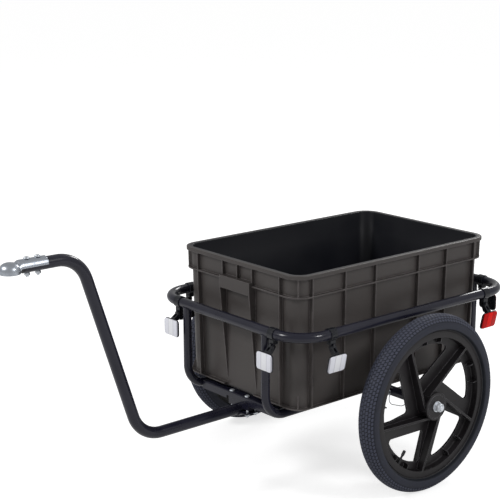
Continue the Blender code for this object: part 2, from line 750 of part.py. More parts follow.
def build_coupling(finish, trailer):
    """Shape the half shell on the drawbar's nose, with the cup that drops over the scooter's ball."""
    nose = drawbar_nose()
    inner = DRAWBAR_RADIUS + GAP
    outer = inner + SHELL_THICKNESS
    sheet = SHELL_THICKNESS
    over_cup = CUP_REACH - NECK_END / 3
    shell = loft_mesh(
        "shell",
        (
            (SHELL_LENGTH, half_section(outer, outer, GAP)),
            (-NECK_START, half_section(outer, outer, GAP)),
            (-NECK_END, half_section(NECK_HALF_WIDTH, NECK_RISE, NECK_DROP)),
            (-over_cup, half_section(NECK_HALF_WIDTH, NECK_RISE - sheet, NECK_DROP)),
        ),
    )
    open_below = CUP_RADIUS
    hollow = loft_mesh(
        "shell_hollow",
        (
            (2 * SHELL_LENGTH, half_section(inner, inner, open_below)),
            (-NECK_START + sheet / 2, half_section(inner, inner, open_below)),
            (-NECK_END, half_section(NECK_HALF_WIDTH - sheet, NECK_RISE - sheet, open_below)),
            (-over_cup - sheet, half_section(NECK_HALF_WIDTH - sheet, NECK_RISE - 2 * sheet, open_below)),
        ),
    )
    cup = lathe_mesh("cup", dome_profile(CUP_RADIUS, CUP_TOP_Z - CUP_BOTTOM_Z), sides=20)
    depth = CUP_TOP_Z - CUP_BOTTOM_Z - CUP_WALL
    cup_hollow = lathe_mesh("cup_hollow", dome_profile(CUP_RADIUS - CUP_WALL, depth, CUP_WALL), sides=20)
    for mesh in (shell, hollow):
        mesh.transform(Matrix.Translation(nose))
    for mesh in (cup, cup_hollow):
        mesh.transform(Matrix.Translation((0, CUP_Y, CUP_BOTTOM_Z)))
    outside = shape_with("coupling_outside", shell, (cup,))
    inside = shape_with("coupling_inside", hollow, (cup_hollow,))
    mesh = shape_with("coupling_shell", outside, removed=(inside, *coupling_bolt_holes()))
    make_piece("coupling_shell", mesh, finish, trailer)

    bolt = bolt_mesh("coupling_bolt", outer + DRAWBAR_RADIUS + 2 * GAP)
    for number, distance in enumerate(COUPLING_BOLT_PLACES, start=1):
        place = nose + Y_AXIS * distance + Z_AXIS * (outer + GAP)
        make_piece(f"coupling_bolt_{number}", bolt, finish, trailer, place)


def dome_profile(radius, height, skirt=0.0):
    """Return the profile of a dome that stands on z = 0, reaching below it by the skirt."""
    return (
        (0, height),
        (radius * 0.42, height * 0.955),
        (radius * 0.75, height * 0.80),
        (radius * 0.95, height * 0.52),
        (radius, height * 0.22),
        (radius, -skirt),
        (0, -skirt),
    )


def window_outline(number):
    """Return the outline of one window of the wheel, in (y, z) about the hub."""
    turn = number * 2 * math.pi / SPOKE_COUNT
    start = WINDOW_START + turn
    direction = WINDOW_EDGE_DIRECTION + turn
    inner = Vector(polar(WINDOW_CORNER_RADIUS, start))
    along = Vector(polar(1.0, direction))
    half = inner.dot(along)
    reach = math.sqrt(half * half + WINDOW_OUTER_RADIUS ** 2 - WINDOW_CORNER_RADIUS ** 2) - half
    far = inner + along * reach
    end = math.atan2(far.y, far.x)
    while end > start:
        end -= 2 * math.pi
    while start - end > math.pi:
        end += 2 * math.pi
    arc = arc_points((0, 0), WINDOW_OUTER_RADIUS, end, start, 4)
    corners = [(inner.x, inner.y, WINDOW_FILLET), (*arc[0], WINDOW_FILLET)]
    corners.extend((u, v, 0) for u, v in arc[1:-1])
    corners.append((*arc[-1], WINDOW_FILLET))
    return rounded_outline(corners)


def wheel_mesh(name, outward, valve_angle):
    """Mould a wheel about X: hub, web with five windows, five blades and the rim channel."""
    web_front = (-WEB_INSET + WEB_THICKNESS / 2) * outward
    web_back = (-WEB_INSET - WEB_THICKNESS / 2) * outward
    hub = HUB_HALF_LENGTH * outward
    cap = (HUB_HALF_LENGTH - HUB_CAP_THICKNESS) * outward
    wall = (HUB_HALF_LENGTH - HUB_END_WALL) * outward
    edge = RIM_HALF_WIDTH * outward
    flange = (RIM_HALF_WIDTH - RIM_FLANGE) * outward
    seat = RIM_INNER_RADIUS + RIM_FLOOR
    bore = BEARING_RADIUS + 1.5 * GAP
    profile = (
        (HUB_HOLE_RADIUS, hub),
        (HUB_CAP_RADIUS, hub),
        (HUB_CAP_RADIUS, cap),
        (HUB_BARREL_RADIUS, cap),
        (HUB_BARREL_RADIUS, web_front),
        (RIM_INNER_RADIUS, web_front),
        (RIM_INNER_RADIUS, edge),
        (RIM_EDGE_RADIUS, edge),
        (RIM_EDGE_RADIUS, flange),
        (seat, flange),
        (seat, -flange),
        (RIM_EDGE_RADIUS, -flange),
        (RIM_EDGE_RADIUS, -edge),
        (RIM_INNER_RADIUS, -edge),
        (RIM_INNER_RADIUS, web_back),
        (HUB_BARREL_RADIUS, web_back),
        (HUB_BARREL_RADIUS, -hub),
        (bore, -hub),
        (bore, wall),
        (HUB_HOLE_RADIUS, wall),
    )
    turned = lathe_mesh("turned_wheel", profile, WHEEL_SIDES, closed=True, axis=X_AXIS, start=TURN)
    axes = (Y_AXIS, Z_AXIS, X_AXIS)
    windows = [
        prism_mesh("window", window_outline(number), -RIM_HALF_WIDTH, RIM_HALF_WIDTH, axes)
        for number in range(SPOKE_COUNT)
    ]
    blades = [blade_mesh(number) for number in range(SPOKE_COUNT)]
    hole = valve_rod("valve_hole", valve_angle, outward, VALVE_RADIUS + GAP, RIM_INNER_RADIUS - RIM_FLOOR, seat)
    bored = shape_with("bored_wheel", turned, removed=(*windows, hole))
    return shape_with(name, bored, added=blades)


def blade_mesh(number):
    """Make one spoke's upright blade, tangent to the hub, from the hub barrel to the rim."""
    turn = BLADE_DIRECTION + number * 2 * math.pi / SPOKE_COUNT
    along = Y_AXIS * math.cos(turn) + Z_AXIS * math.sin(turn)
    aside = Z_AXIS * math.cos(turn) - Y_AXIS * math.sin(turn)
    reach = math.sqrt((RIM_INNER_RADIUS + RIM_FLOOR / 2) ** 2 - BLADE_OFFSET ** 2)
    rim_half = RIM_HALF_WIDTH - GAP
    middle = BLADE_OFFSET - BLADE_THICKNESS / 2
    outline = (
        (0, -BLADE_HUB_HALF_HEIGHT),
        (reach, -rim_half),
        (reach, rim_half),
        (0, BLADE_HUB_HALF_HEIGHT),
    )
    low = middle - BLADE_THICKNESS / 2
    return prism_mesh("blade", outline, low, low + BLADE_THICKNESS, (along, X_AXIS, aside))


def valve_rod(name, angle, outward, radius, low, high, sides=8):
    """Make a rod along the valve's line between two distances from the hub."""
    direction = Y_AXIS * math.cos(angle) + Z_AXIS * math.sin(angle)
    offset = X_AXIS * VALVE_INSET * outward
    return rod_mesh(name, direction * low + offset, direction * high + offset, radius, sides)


def mirrored(profile):
    """Return a closed profile from its half at +X, walked on to its mirror image."""
    return (*profile, *((radius, -x) for radius, x in reversed(profile)))


def tyre_mesh():
    """Turn the tyre, open towards the rim, with its beads between the rim's flanges."""
    seat = RIM_INNER_RADIUS + RIM_FLOOR + GAP
    heel = RIM_HALF_WIDTH - RIM_FLANGE - GAP
    toe = heel - BEAD_WIDTH
    width = TYRE_HALF_WIDTH
    outside = (
        (seat, toe),
        (seat, heel),
        (RIM_EDGE_RADIUS + 0.002, heel),
        (WHEEL_RADIUS - 0.024, width),
        (WHEEL_RADIUS - 0.010, width * 0.87),
        (WHEEL_RADIUS, width * 0.33),
    )
    inside = (
        (RIM_EDGE_RADIUS + 0.003, toe),
        (WHEEL_RADIUS - 0.017, width - 0.0045),
        (WHEEL_RADIUS - 0.006, width * 0.38),
    )
    back = ((radius, -x) for radius, x in inside)
    section = (*mirrored(outside), *back, *reversed(inside))
    return lathe_mesh("tyre", section, WHEEL_SIDES, closed=True, axis=X_AXIS, start=TURN)


def inner_tube_mesh(name, outward, valve_angle):
    """Turn the air tube inside the tyre and let its valve reach in through the rim."""
    seat = RIM_INNER_RADIUS + RIM_FLOOR + 2 * GAP
    neck = RIM_HALF_WIDTH - RIM_FLANGE - BEAD_WIDTH - 3 * GAP
    width = TYRE_HALF_WIDTH
    section = (
        (seat, neck - 2 * GAP),
        (RIM_EDGE_RADIUS + 0.003, neck - 2 * GAP),
        (WHEEL_RADIUS - 0.0175, width - 0.0055),
        (WHEEL_RADIUS - 0.0068, width * 0.36),
    )
    body = lathe_mesh("tube_body", mirrored(section), WHEEL_SIDES, closed=True, axis=X_AXIS, start=TURN)
    cavity_section = (
        (seat + 0.006, 0.0),
        (WHEEL_RADIUS - 0.019, width * 0.48),
        (WHEEL_RADIUS - 0.010, 0.0),
        (WHEEL_RADIUS - 0.019, -width * 0.48),
    )
    cavity = lathe_mesh("tube_cavity", cavity_section, WHEEL_SIDES // 2, closed=True, axis=X_AXIS, start=TURN)
    stem = valve_rod("valve_stem", valve_angle, outward, VALVE_RADIUS, VALVE_TIP_RADIUS, seat + 0.002)
    bore = valve_rod(
        "valve_bore", valve_angle, outward, VALVE_BORE, VALVE_TIP_RADIUS - 0.002, WHEEL_RADIUS - 0.021, 6
    )
    return shape_with(name, body, (stem,), (cavity, bore))


def bearing_mesh(name, outward):
    """Turn the two bearings and the spacer sleeve between them as one cartridge."""
    outer_end = (HUB_HALF_LENGTH - HUB_END_WALL - GAP) * outward
    inner_end = (GAP - HUB_HALF_LENGTH) * outward
    width = BEARING_WIDTH * outward
    bore = AXLE_RADIUS + 1.5 * GAP
    profile = (
        (bore, outer_end),
        (BEARING_RADIUS, outer_end),
        (BEARING_RADIUS, outer_end - width),
        (SPACER_RADIUS, outer_end - width),
        (SPACER_RADIUS, inner_end + width),
        (BEARING_RADIUS, inner_end + width),
        (BEARING_RADIUS, inner_end),
        (bore, inner_end),
    )
    return lathe_mesh(name, profile, 16, closed=True, axis=X_AXIS, start=TURN)


def axle_mesh(name, side):
    """Turn a stub axle with its collar and thread, drilled for the lock pin."""
    hub_inner = TRACK / 2 - HUB_HALF_LENGTH
    hub_outer = TRACK / 2 + HUB_HALF_LENGTH
    collar = CROSS_TUBE_HALF_LENGTH + GAP
    inner_end = CROSS_TUBE_HALF_LENGTH - AXLE_LENGTH_IN_TUBE
    profile = (
        (0, inner_end),
        (AXLE_RADIUS, inner_end),
        (AXLE_RADIUS, collar),
        (AXLE_COLLAR_RADIUS, collar),
        (AXLE_COLLAR_RADIUS, hub_inner),
        (AXLE_RADIUS, hub_inner),
        (AXLE_RADIUS, hub_outer),
        (THREAD_RADIUS, hub_outer),
        (THREAD_RADIUS, hub_outer + THREAD_LENGTH),
        (0, hub_outer + THREAD_LENGTH),
    )
    plain = lathe_mesh("plain_axle", profile, axis=X_AXIS * side)
    hole = pin_hole("axle_hole", side * PIN_X, 0)
    return shape_with(name, plain, removed=(hole,))


def axle_nut_mesh(name, side):
    """Turn the washer and the nut with its nylon collar, as one piece on the axle's thread."""
    foot = TRACK / 2 + HUB_HALF_LENGTH + GAP
    seat = foot + WASHER_THICKNESS
    top = seat + NUT_HEIGHT
    crown = top + NUT_COLLAR_HEIGHT
    bore = THREAD_RADIUS + GAP
    profile = (
        (bore, foot),
        (WASHER_RADIUS, foot),
        (WASHER_RADIUS, seat),
        (hex_section(NUT_WIDTH), seat),
        (hex_section(NUT_WIDTH), top),
        (NUT_COLLAR_RADIUS, top),
        (NUT_COLLAR_RADIUS, crown),
        (bore, crown),
    )
    return lathe_mesh(name, profile, 12, closed=True, axis=X_AXIS * side)


def build_wheels(finishes, trailer):
    """Place each wheel with its tyre, air tube and bearings, and its fixed axle and nut."""
    tyre = tyre_mesh()
    for name, side, valve_angle in (("left", 1, LEFT_VALVE_ANGLE), ("right", -1, RIGHT_VALVE_ANGLE)):
        hub = make_empty(f"{name}_hub_line", (side * TRACK / 2, 0, WHEEL_RADIUS), trailer)
        turn = valve_angle - LEFT_VALVE_ANGLE
        wheel = wheel_mesh(f"{name}_wheel", side, LEFT_VALVE_ANGLE)
        tube = inner_tube_mesh(f"{name}_inner_tube", side, LEFT_VALVE_ANGLE)
        make_piece(f"{name}_wheel", wheel, finishes["plastic"], hub, turn_x=turn)
        make_piece(f"{name}_tyre", tyre, finishes["rubber"], hub, turn_x=turn)
        make_piece(f"{name}_inner_tube", tube, finishes["rubber"], hub, turn_x=turn)
        bearing = bearing_mesh(f"{name}_bearings", side)
        make_piece(f"{name}_bearings", bearing, finishes["zinc"], hub)
        line = (0, 0, WHEEL_RADIUS)
        make_piece(f"{name}_axle", axle_mesh(f"{name}_axle", side), finishes["zinc"], trailer, line)
        nut = axle_nut_mesh(f"{name}_axle_nut", side)
        make_piece(f"{name}_axle_nut", nut, finishes["zinc"], trailer, line)


def build_lock_pins(finish, trailer):
    """Place each axle's lock pin and the wire bow under it, unhooked a little way short of the pin's tip."""
    head_back = -CROSS_TUBE_RADIUS - GAP
    head_front = head_back - PIN_HEAD_LENGTH
    hinge_y = head_back - PIN_HEAD_LENGTH / 2
    profile = (
        (0, head_front),
        (PIN_HEAD_RADIUS, head_front),
        (PIN_HEAD_RADIUS, head_back),
        (PIN_RADIUS, head_back),
        (PIN_RADIUS, PIN_TIP_Y - PIN_RADIUS / 2),
        (PIN_RADIUS / 2, PIN_TIP_Y),
        (0, PIN_TIP_Y),
    )
    plain = lathe_mesh("plain_pin", profile, 8, axis=Y_AXIS)
    eye = rod_mesh(
        "pin_eye",
        (-2 * PIN_HEAD_RADIUS, hinge_y, 0),
        (2 * PIN_HEAD_RADIUS, hinge_y, 0),
        BOW_WIRE_RADIUS + SLIDING_GAP,
        sides=6,
    )
    pin = shape_with("lock_pin", plain, removed=(eye,))
    for name, side in (("left", 1), ("right", -1)):
        pin_line = make_empty(f"{name}_pin_line", (side * PIN_X, 0, WHEEL_RADIUS), trailer)
        make_piece(f"{name}_lock_pin", pin, finish, pin_line)
        bow_hinge = make_empty(f"{name}_bow_hinge", (0, hinge_y, 0), pin_line)
        bow = bow_mesh(f"{name}_bow", side, PIN_TIP_Y - hinge_y + 2 * BOW_WIRE_RADIUS)
        make_piece(f"{name}_lock_pin_bow", bow, finish, bow_hinge, turn_x=BOW_REST)


def bow_mesh(name, side, reach):
    """Bend the wire bow: an eye end across the pin's head, a hoop and a hook past the pin's tip."""
    eye_end = -side * (PIN_HEAD_RADIUS + 2 * BOW_WIRE_RADIUS)
    plane = side * (PIN_HEAD_RADIUS + BOW_WIRE_RADIUS + SLIDING_GAP)
    hook_end = -side * PIN_RADIUS
    corners = (
        (eye_end, 0, 0),
        (plane, 0, 0),
        (plane, 0, BOW_BULGE),
        (plane, -reach, BOW_BULGE),
        (plane, -reach, 0),
        (hook_end, -reach, 0),
    )
    tight = 1.5 * BOW_WIRE_RADIUS
    stations = bent_path(corners, (tight, BOW_CORNER, BOW_CORNER, tight))
    return tube_mesh(name, stations, BOW_WIRE_RADIUS, Z_AXIS, sides=6)


def crate_columns():
    """List the crate's outline anticlockwise from above as columns of (place, outward, kind).

    A kind is wall for the plain wall, fin for the outer edge of a fin, corner for the edge of the short fins
    on a corner, grip for the panel under the hand grip, gusset for the edge of a gusset beside that panel and
    cell for the edge of the fin that parts the two cells over the grip.
    """
    half_x = CRATE_WIDTH / 2
    half_y = CRATE_LENGTH / 2
    columns = []

    def add_fin(middle, along, outward, kind, before="wall", after="wall"):
        for side, part in ((-1, before), (-1, kind), (1, kind), (1, after)):
            columns.append((middle + along * side * CRATE_FIN / 2, outward, part))

    for number in range(4):
        turn = Matrix.Rotation(number * TURN, 3, "Z")
        outward = turn @ X_AXIS
        along = turn @ Y_AXIS
        is_long_side = number % 2 == 0
        middle = outward * (half_x if is_long_side else half_y)
        straight = (half_y if is_long_side else half_x) - CRATE_CORNER
        if is_long_side:
            for place in CRATE_SIDE_FINS:
                add_fin(middle + along * place * CRATE_LENGTH, along, outward, "fin")
        else:
            gusset = CRATE_GRIP_HALF_WIDTH - CRATE_FIN / 2
            end_fin = along * CRATE_END_FIN * CRATE_WIDTH
            add_fin(middle - end_fin, along, outward, "fin")
            add_fin(middle - along * gusset, along, outward, "gusset", after="grip")
            add_fin(middle, along, outward, "cell", before="grip", after="grip")
            add_fin(middle + along * gusset, along, outward, "gusset", before="grip")
            add_fin(middle + end_fin, along, outward, "fin")
        corner_centre = middle - outward * CRATE_CORNER + along * straight
        for step in range(5):
            angle = TURN * step / 4
            direction = outward * math.cos(angle) + along * math.sin(angle)
            place = corner_centre + direction * CRATE_CORNER
            if step == 2:
                add_fin(place, Z_AXIS.cross(direction), direction, "corner")
            else:
                columns.append((place, direction, "wall"))
    return columns


def wall_insets(height):
    """Return how far in from the lip's outline each kind stands, at a height between foot and ledge."""
    ledge_z = CRATE_HEIGHT - CRATE_SKIRT
    grip_z = ledge_z - CRATE_GRIP_DROP
    top = CRATE_LIP + CRATE_WALL_INSET
    wall = top + CRATE_WALL_DRAFT * (ledge_z - height) / ledge_z
    rise = max(0.0, (height - CRATE_FOOT_HEIGHT) / (grip_z - CRATE_FOOT_HEIGHT))
    gusset = wall - (wall + CRATE_GRIP_OUT) * rise
    fin = CRATE_LIP + CRATE_FIN_STEP
    return {"wall": wall, "corner": wall, "fin": fin, "grip": wall, "cell": wall, "gusset": gusset}


def crate_levels():
    """List the crate's rings as (height, insets), from the foot up outside and down again inside."""
    kinds = ("wall", "corner", "fin", "grip", "cell", "gusset")
    ledge_z = CRATE_HEIGHT - CRATE_SKIRT
    ledge_top = ledge_z + CRATE_LEDGE
    grip_z = ledge_z - CRATE_GRIP_DROP
    grip_top = ledge_z + CRATE_GRIP_RISE
    lip_z = CRATE_HEIGHT - CRATE_LIP_HEIGHT
    ledge = dict.fromkeys(kinds, CRATE_LIP)
    block = dict.fromkeys(("grip", "cell", "gusset"), -CRATE_GRIP_OUT)
    foot = {**wall_insets(0.0), **dict.fromkeys(("wall", "corner", "fin"), CRATE_LIP)}
    skirt = dict.fromkeys(kinds, CRATE_LIP + CRATE_FIN_STEP)
    skirt["wall"] = skirt["grip"] = CRATE_LIP + CRATE_SKIRT_INSET
    lip = dict.fromkeys(kinds, 0.0)
    outside = [
        (0.0, dict.fromkeys(kinds, wall_insets(0.0)["wall"])),
        (CRATE_FOOT_CHAMFER, foot),
        (CRATE_FOOT_HEIGHT, foot),
        (CRATE_FOOT_HEIGHT, {**wall_insets(CRATE_FOOT_HEIGHT), "corner": CRATE_LIP}),
        (CRATE_FOOT_GUSSET, wall_insets(CRATE_FOOT_GUSSET)),
        (grip_z, wall_insets(grip_z)),
        (grip_z, {**wall_insets(grip_z), **block}),
        (ledge_z, {**wall_insets(ledge_z), **block}),
        (ledge_z, {**ledge, **block}),
        (ledge_top, {**ledge, **block}),
        (ledge_top, {**skirt, **block}),
        (grip_top, {**skirt, **block}),
        (grip_top, skirt),
        (lip_z, skirt),
        (lip_z, lip),
        (CRATE_HEIGHT - CRATE_LIP_CHAMFER, lip),
        (CRATE_HEIGHT, dict.fromkeys(kinds, CRATE_LIP_CHAMFER)),
    ]
    mouth = dict.fromkeys(kinds, CRATE_LIP + CRATE_SKIRT_INSET + CRATE_WALL)
    inside = [(CRATE_HEIGHT, mouth), (ledge_top, mouth)]
    for height in (ledge_z, CRATE_FLOOR):
        inside.append((height, dict.fromkeys(kinds, wall_insets(height)["wall"] + CRATE_WALL)))
    return outside + inside


def crate_mesh():
    """Build the crate as rings of its columns, from the foot up to the lip and down inside."""
    columns = crate_columns()
    work = bmesh.new()
    rings = []
    for height, insets in crate_levels():
        share = 1 - height / CRATE_HEIGHT
        scale_x = 1 - share * CRATE_FOOT_DRAFT_X / (CRATE_WIDTH / 2)
        scale_y = 1 - share * CRATE_FOOT_DRAFT_Y / (CRATE_LENGTH / 2)
        ring = []
        for place, outward, kind in columns:
            drawn = place - outward * insets[kind]
            ring.append(work.verts.new((drawn.x * scale_x, drawn.y * scale_y, height)))
        rings.append(ring)
    for ring, after in zip(rings, rings[1:]):
        add_band(work, ring, after)
    work.faces.new(rings[0])
    work.faces.new(rings[-1])
    dissolve_slivers(work)
    bmesh.ops.dissolve_limit(work, angle_limit=FLATNESS, verts=work.verts, edges=work.edges)
    return finish_mesh("crate", work)


def dissolve_slivers(work):
    """Give each flat triangle's middle corner to the face across its long edge, and drop the triangle."""
    bmesh.ops.remove_doubles(work, verts=work.verts, dist=1e-7)
    for face in list(work.faces):
        if face.calc_area() > 1e-10:
            continue
        edge = max(face.edges, key=lambda one: one.calc_length())
        middle = next(vert for vert in face.verts if vert not in edge.verts)
        start = edge.verts[0]
        bmesh.utils.edge_split(edge, start, (middle.co - start.co).length / edge.calc_length())
    bmesh.ops.remove_doubles(work, verts=work.verts, dist=1e-6)


def build_crate(finish, trailer):
    """Set the crate into the rim tube, its floor on the cross tube."""
    make_piece("crate", crate_mesh(), finish, trailer, (0, FRAME_SET_BACK, CRATE_BASE_Z))


def bracket_mesh():
    """Make a clamp about X: a band round the rim tube, a lug and the knuckle's tongue below it."""
    inner = RIM_TUBE_RADIUS + GAP
    outer = inner + BAND_THICKNESS
    width = BAND_HALF_WIDTH
    profile = ((inner, -width), (outer, -width), (outer, width), (inner, width))
    band = lathe_mesh("band", profile, TUBE_SIDES, closed=True, axis=X_AXIS)
    lug_foot = -outer - LUG_DEPTH + BAND_THICKNESS
    lug = box_mesh(
        "lug",
        (-LUG_HALF_WIDTH, -KNUCKLE_RADIUS - BAND_THICKNESS, lug_foot),
        (LUG_HALF_WIDTH, KNUCKLE_RADIUS, -inner - BAND_THICKNESS / 4),
    )
    hollow = rod_mesh("band_hollow", (-2 * width, 0, 0), (2 * width, 0, 0), inner, sides=TUBE_SIDES)
    knuckle = (-KNUCKLE_OUT, -KNUCKLE_DOWN)
    barrel = arc_points(knuckle, KNUCKLE_RADIUS, math.pi, 2 * math.pi, 6)
    outline = [*barrel, (barrel[-1][0], lug_foot + BAND_THICKNESS), (barrel[0][0], lug_foot + BAND_THICKNESS)]
    axes = (Y_AXIS, Z_AXIS, X_AXIS)
    tongue = prism_mesh("tongue", outline, -TONGUE_HALF_WIDTH, TONGUE_HALF_WIDTH, axes)
    pin_hole_cutter = rod_mesh(
        "knuckle_hole",
        (-BAND_HALF_WIDTH, *knuckle),
        (BAND_HALF_WIDTH, *knuckle),
        KNUCKLE_PIN_RADIUS + SLIDING_GAP,
    )
    return shape_with("reflector_bracket", band, (lug, tongue), (hollow, pin_hole_cutter))


def housing_mesh():
    """Make the tilting back shell about the knuckle: fork, pin, stem and the plate behind the lens."""
    barrel = arc_points((0, 0), KNUCKLE_RADIUS, math.radians(-20), math.radians(180), 7)
    stem_top = -HOUSING_BACK - HOUSING_THICKNESS / 2
    outline = [
        *barrel,
        (stem_top, -KNUCKLE_RADIUS * 1.7),
        (stem_top, -KNUCKLE_RADIUS * 3.0),
        (-KNUCKLE_RADIUS * 0.6, -KNUCKLE_RADIUS * 2.4),
    ]
    axes = (Y_AXIS, Z_AXIS, X_AXIS)
    fork = prism_mesh("fork", outline, -KNUCKLE_HALF_WIDTH, KNUCKLE_HALF_WIDTH, axes)
    slot_half = TONGUE_HALF_WIDTH + GAP
    slot_floor = -KNUCKLE_RADIUS - 2 * GAP
    slot = box_mesh(
        "slot", (-slot_half, -2 * HOUSING_BACK, slot_floor), (slot_half, 2 * HOUSING_BACK, 2 * KNUCKLE_RADIUS)
    )
    forked = shape_with("forked", fork, removed=(slot,))
    pin_half = KNUCKLE_HALF_WIDTH - GAP
    pin = rod_mesh("knuckle_pin", (-pin_half, 0, 0), (pin_half, 0, 0), KNUCKLE_PIN_RADIUS)
    plate = plate_mesh("plate", 0.0, HOUSING_BACK, HOUSING_THICKNESS)
    return shape_with("reflector_housing", forked, added=(pin, plate))


def plate_mesh(name, margin, back, thickness):
    """Make a rounded plate that hangs below the knuckle and faces outwards, towards -Y."""
    outline = rounded_rectangle(
        REFLECTOR_WIDTH - 2 * margin, REFLECTOR_HEIGHT - 2 * margin, REFLECTOR_CORNER - margin
    )
    lowered = [(x, z - REFLECTOR_DROP) for x, z in outline]
    return prism_mesh(name, lowered, back, back + thickness, (X_AXIS, Z_AXIS, -Y_AXIS))


def build_reflectors(finishes, trailer):
    """Clamp eight reflectors to the rim tube, near each of its corners."""
    bracket = bracket_mesh()
    housing = housing_mesh()
    back = HOUSING_BACK + HOUSING_THICKNESS + GAP
    lenses = {
        "white": plate_mesh("white_lens", LENS_MARGIN, back, LENS_THICKNESS),
        "red": plate_mesh("red_lens", LENS_MARGIN, back, LENS_THICKNESS),
    }
    half_width = RIM_WIDTH / 2
    front_side = FRAME_SET_BACK - CLAMP_SIDE_Y
    rear_side = FRAME_SET_BACK + CLAMP_SIDE_Y
    places = (
        ("front_left", CLAMP_FRONT_X, RIM_FRONT_Y, 0, "white"),
        ("front_right", -CLAMP_FRONT_X, RIM_FRONT_Y, 0, "white"),
        ("left_front", half_width, front_side, 1, "white"),
        ("left_rear", half_width, rear_side, 1, "red"),
        ("rear_left", CLAMP_FRONT_X, RIM_REAR_Y, 2, "red"),
        ("rear_right", -CLAMP_FRONT_X, RIM_REAR_Y, 2, "red"),
        ("right_front", -half_width, front_side, 3, "white"),
        ("right_rear", -half_width, rear_side, 3, "red"),
    )
    for name, x, y, quarter_turns, colour in places:
        clamp = make_empty(f"{name}_clamp", (x, y, RIM_Z), trailer, quarter_turns * TURN)
        make_piece(f"{name}_bracket", bracket, finishes["plastic"], clamp)
        knuckle = make_empty(f"{name}_knuckle", (0, -KNUCKLE_OUT, -KNUCKLE_DOWN), clamp)
        tilt = SIDE_TILT if quarter_turns % 2 else 0.0
        make_piece(f"{name}_housing", housing, finishes["plastic"], knuckle, turn_x=tilt)
        make_piece(f"{name}_lens", lenses[colour], finishes[colour], knuckle, turn_x=tilt)


def build_trailer():
    """Build every piece under one empty at the foot of the axle line."""
    clear_scene()
    finishes = {
        "paint": make_material("black_paint", (0.012, 0.012, 0.014), 0.35),
        "plastic": make_material("black_plastic", (0.018, 0.017, 0.018), 0.5),
        "rubber": make_material("tyre_rubber", (0.020, 0.021, 0.024), 0.75),
        "zinc": make_material("bright_zinc", (0.62, 0.64, 0.66), 0.3, 1.0),
        "crate": make_material("crate_plastic", (0.045, 0.042, 0.040), 0.5),
        "white": make_material("clear_reflector", (0.78, 0.78, 0.82), 0.15),
        "red": make_material("red_reflector", (0.70, 0.01, 0.01), 0.15),
    }
    trailer = make_empty("trailer", (0, AXLE_Y, 0))
    build_rim_tube(finishes["paint"], trailer)
    build_rails(finishes["paint"], trailer)
    build_cross_tube(finishes["paint"], trailer)
    build_channel(finishes["paint"], trailer)
    build_saddles(finishes["paint"], trailer)
    build_saddle_bolts(finishes["zinc"], trailer)
    build_drawbar(finishes["paint"], finishes["plastic"], trailer)
    build_coupling(finishes["zinc"], trailer)
    build_wheels(finishes, trailer)
    build_lock_pins(finishes["zinc"], trailer)
    build_crate(finishes["crate"], trailer)
    build_reflectors(finishes, trailer)


build_trailer()
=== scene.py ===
# %% [markdown]
# # Dressing a scooter trailer
# The trailer is a rounded rectangle of black tube that a plastic crate drops into. Two moulded wheels carry
# it, a bent drawbar pulls it, and eight reflectors hang from its rim. The CAD frame gives every place and
# size. This lesson rebuilds each round or fine piece at full smoothness, gives it a finish made of shader
# nodes, and sets up a plain studio.

# %% Load the CAD frame
import json
import math

import bmesh
import bpy
from mathutils import Matrix, Vector


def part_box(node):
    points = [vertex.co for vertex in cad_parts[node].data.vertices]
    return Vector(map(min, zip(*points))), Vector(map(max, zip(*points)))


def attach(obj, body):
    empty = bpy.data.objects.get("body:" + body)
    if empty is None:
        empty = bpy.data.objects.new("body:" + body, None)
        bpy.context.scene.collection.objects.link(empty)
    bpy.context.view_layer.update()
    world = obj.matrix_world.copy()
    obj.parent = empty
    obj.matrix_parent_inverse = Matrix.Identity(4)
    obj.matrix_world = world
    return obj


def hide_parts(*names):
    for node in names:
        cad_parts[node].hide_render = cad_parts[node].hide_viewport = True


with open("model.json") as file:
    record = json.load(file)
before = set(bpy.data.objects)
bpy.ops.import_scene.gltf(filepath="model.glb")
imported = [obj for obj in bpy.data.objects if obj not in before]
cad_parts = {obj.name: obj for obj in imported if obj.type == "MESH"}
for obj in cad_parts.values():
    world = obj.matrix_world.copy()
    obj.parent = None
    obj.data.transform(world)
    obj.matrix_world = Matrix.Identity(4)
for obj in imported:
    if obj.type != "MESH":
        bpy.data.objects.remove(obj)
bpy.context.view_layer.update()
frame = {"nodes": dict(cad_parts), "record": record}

# %% [markdown]
# A detailed piece must ride on the same body as the CAD node that it stands for, and take the same finish.
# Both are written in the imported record, so two dictionaries look them up by the node's name.

# %% What carries each node, and what it is made of
record = frame["record"]
body_names = {
    node: body for body, members in record["behaviour"]["bodies"].items() for node in members
}
slot_names = {part["node"]: part["material_slot"] for part in record["subparts"]}

# %% [markdown]
# ## The camera
# The camera stands to the front left of the trailer, a little above it, as in the photograph. A long lens
# keeps the near wheel from swelling. A tiny shift puts the trailer at the same place in the picture without
# turning the camera.

# %% Camera
camera = bpy.data.objects.new("camera", bpy.data.cameras.new("camera"))
bpy.context.collection.objects.link(camera)
camera.location = (2.0847535, -1.7582728, 1.1893805)
camera.rotation_euler = (1.3269094, 0.0035823, 0.8758232)
camera.data.lens = 93.16048
camera.data.shift_x = 0.014453
camera.data.shift_y = 0.0153717
bpy.context.scene.camera = camera
bpy.context.scene.view_settings.view_transform = "Standard"
print("camera looks from", tuple(round(value, 2) for value in camera.location))

# %% [markdown]
# ## The studio
# Every material here is a tree of nodes, so four short functions come first: one feeds a socket, one adds a
# node, one adds two-value maths, and one gives the place on a surface.

# %% Helpers that add nodes
WHITE = (1.0, 1.0, 1.0, 1.0)


def feed(tree, socket, value):
    """Link a socket to another node's output, or give it a plain value."""
    if isinstance(value, bpy.types.NodeSocket):
        tree.links.new(value, socket)
    else:
        socket.default_value = value


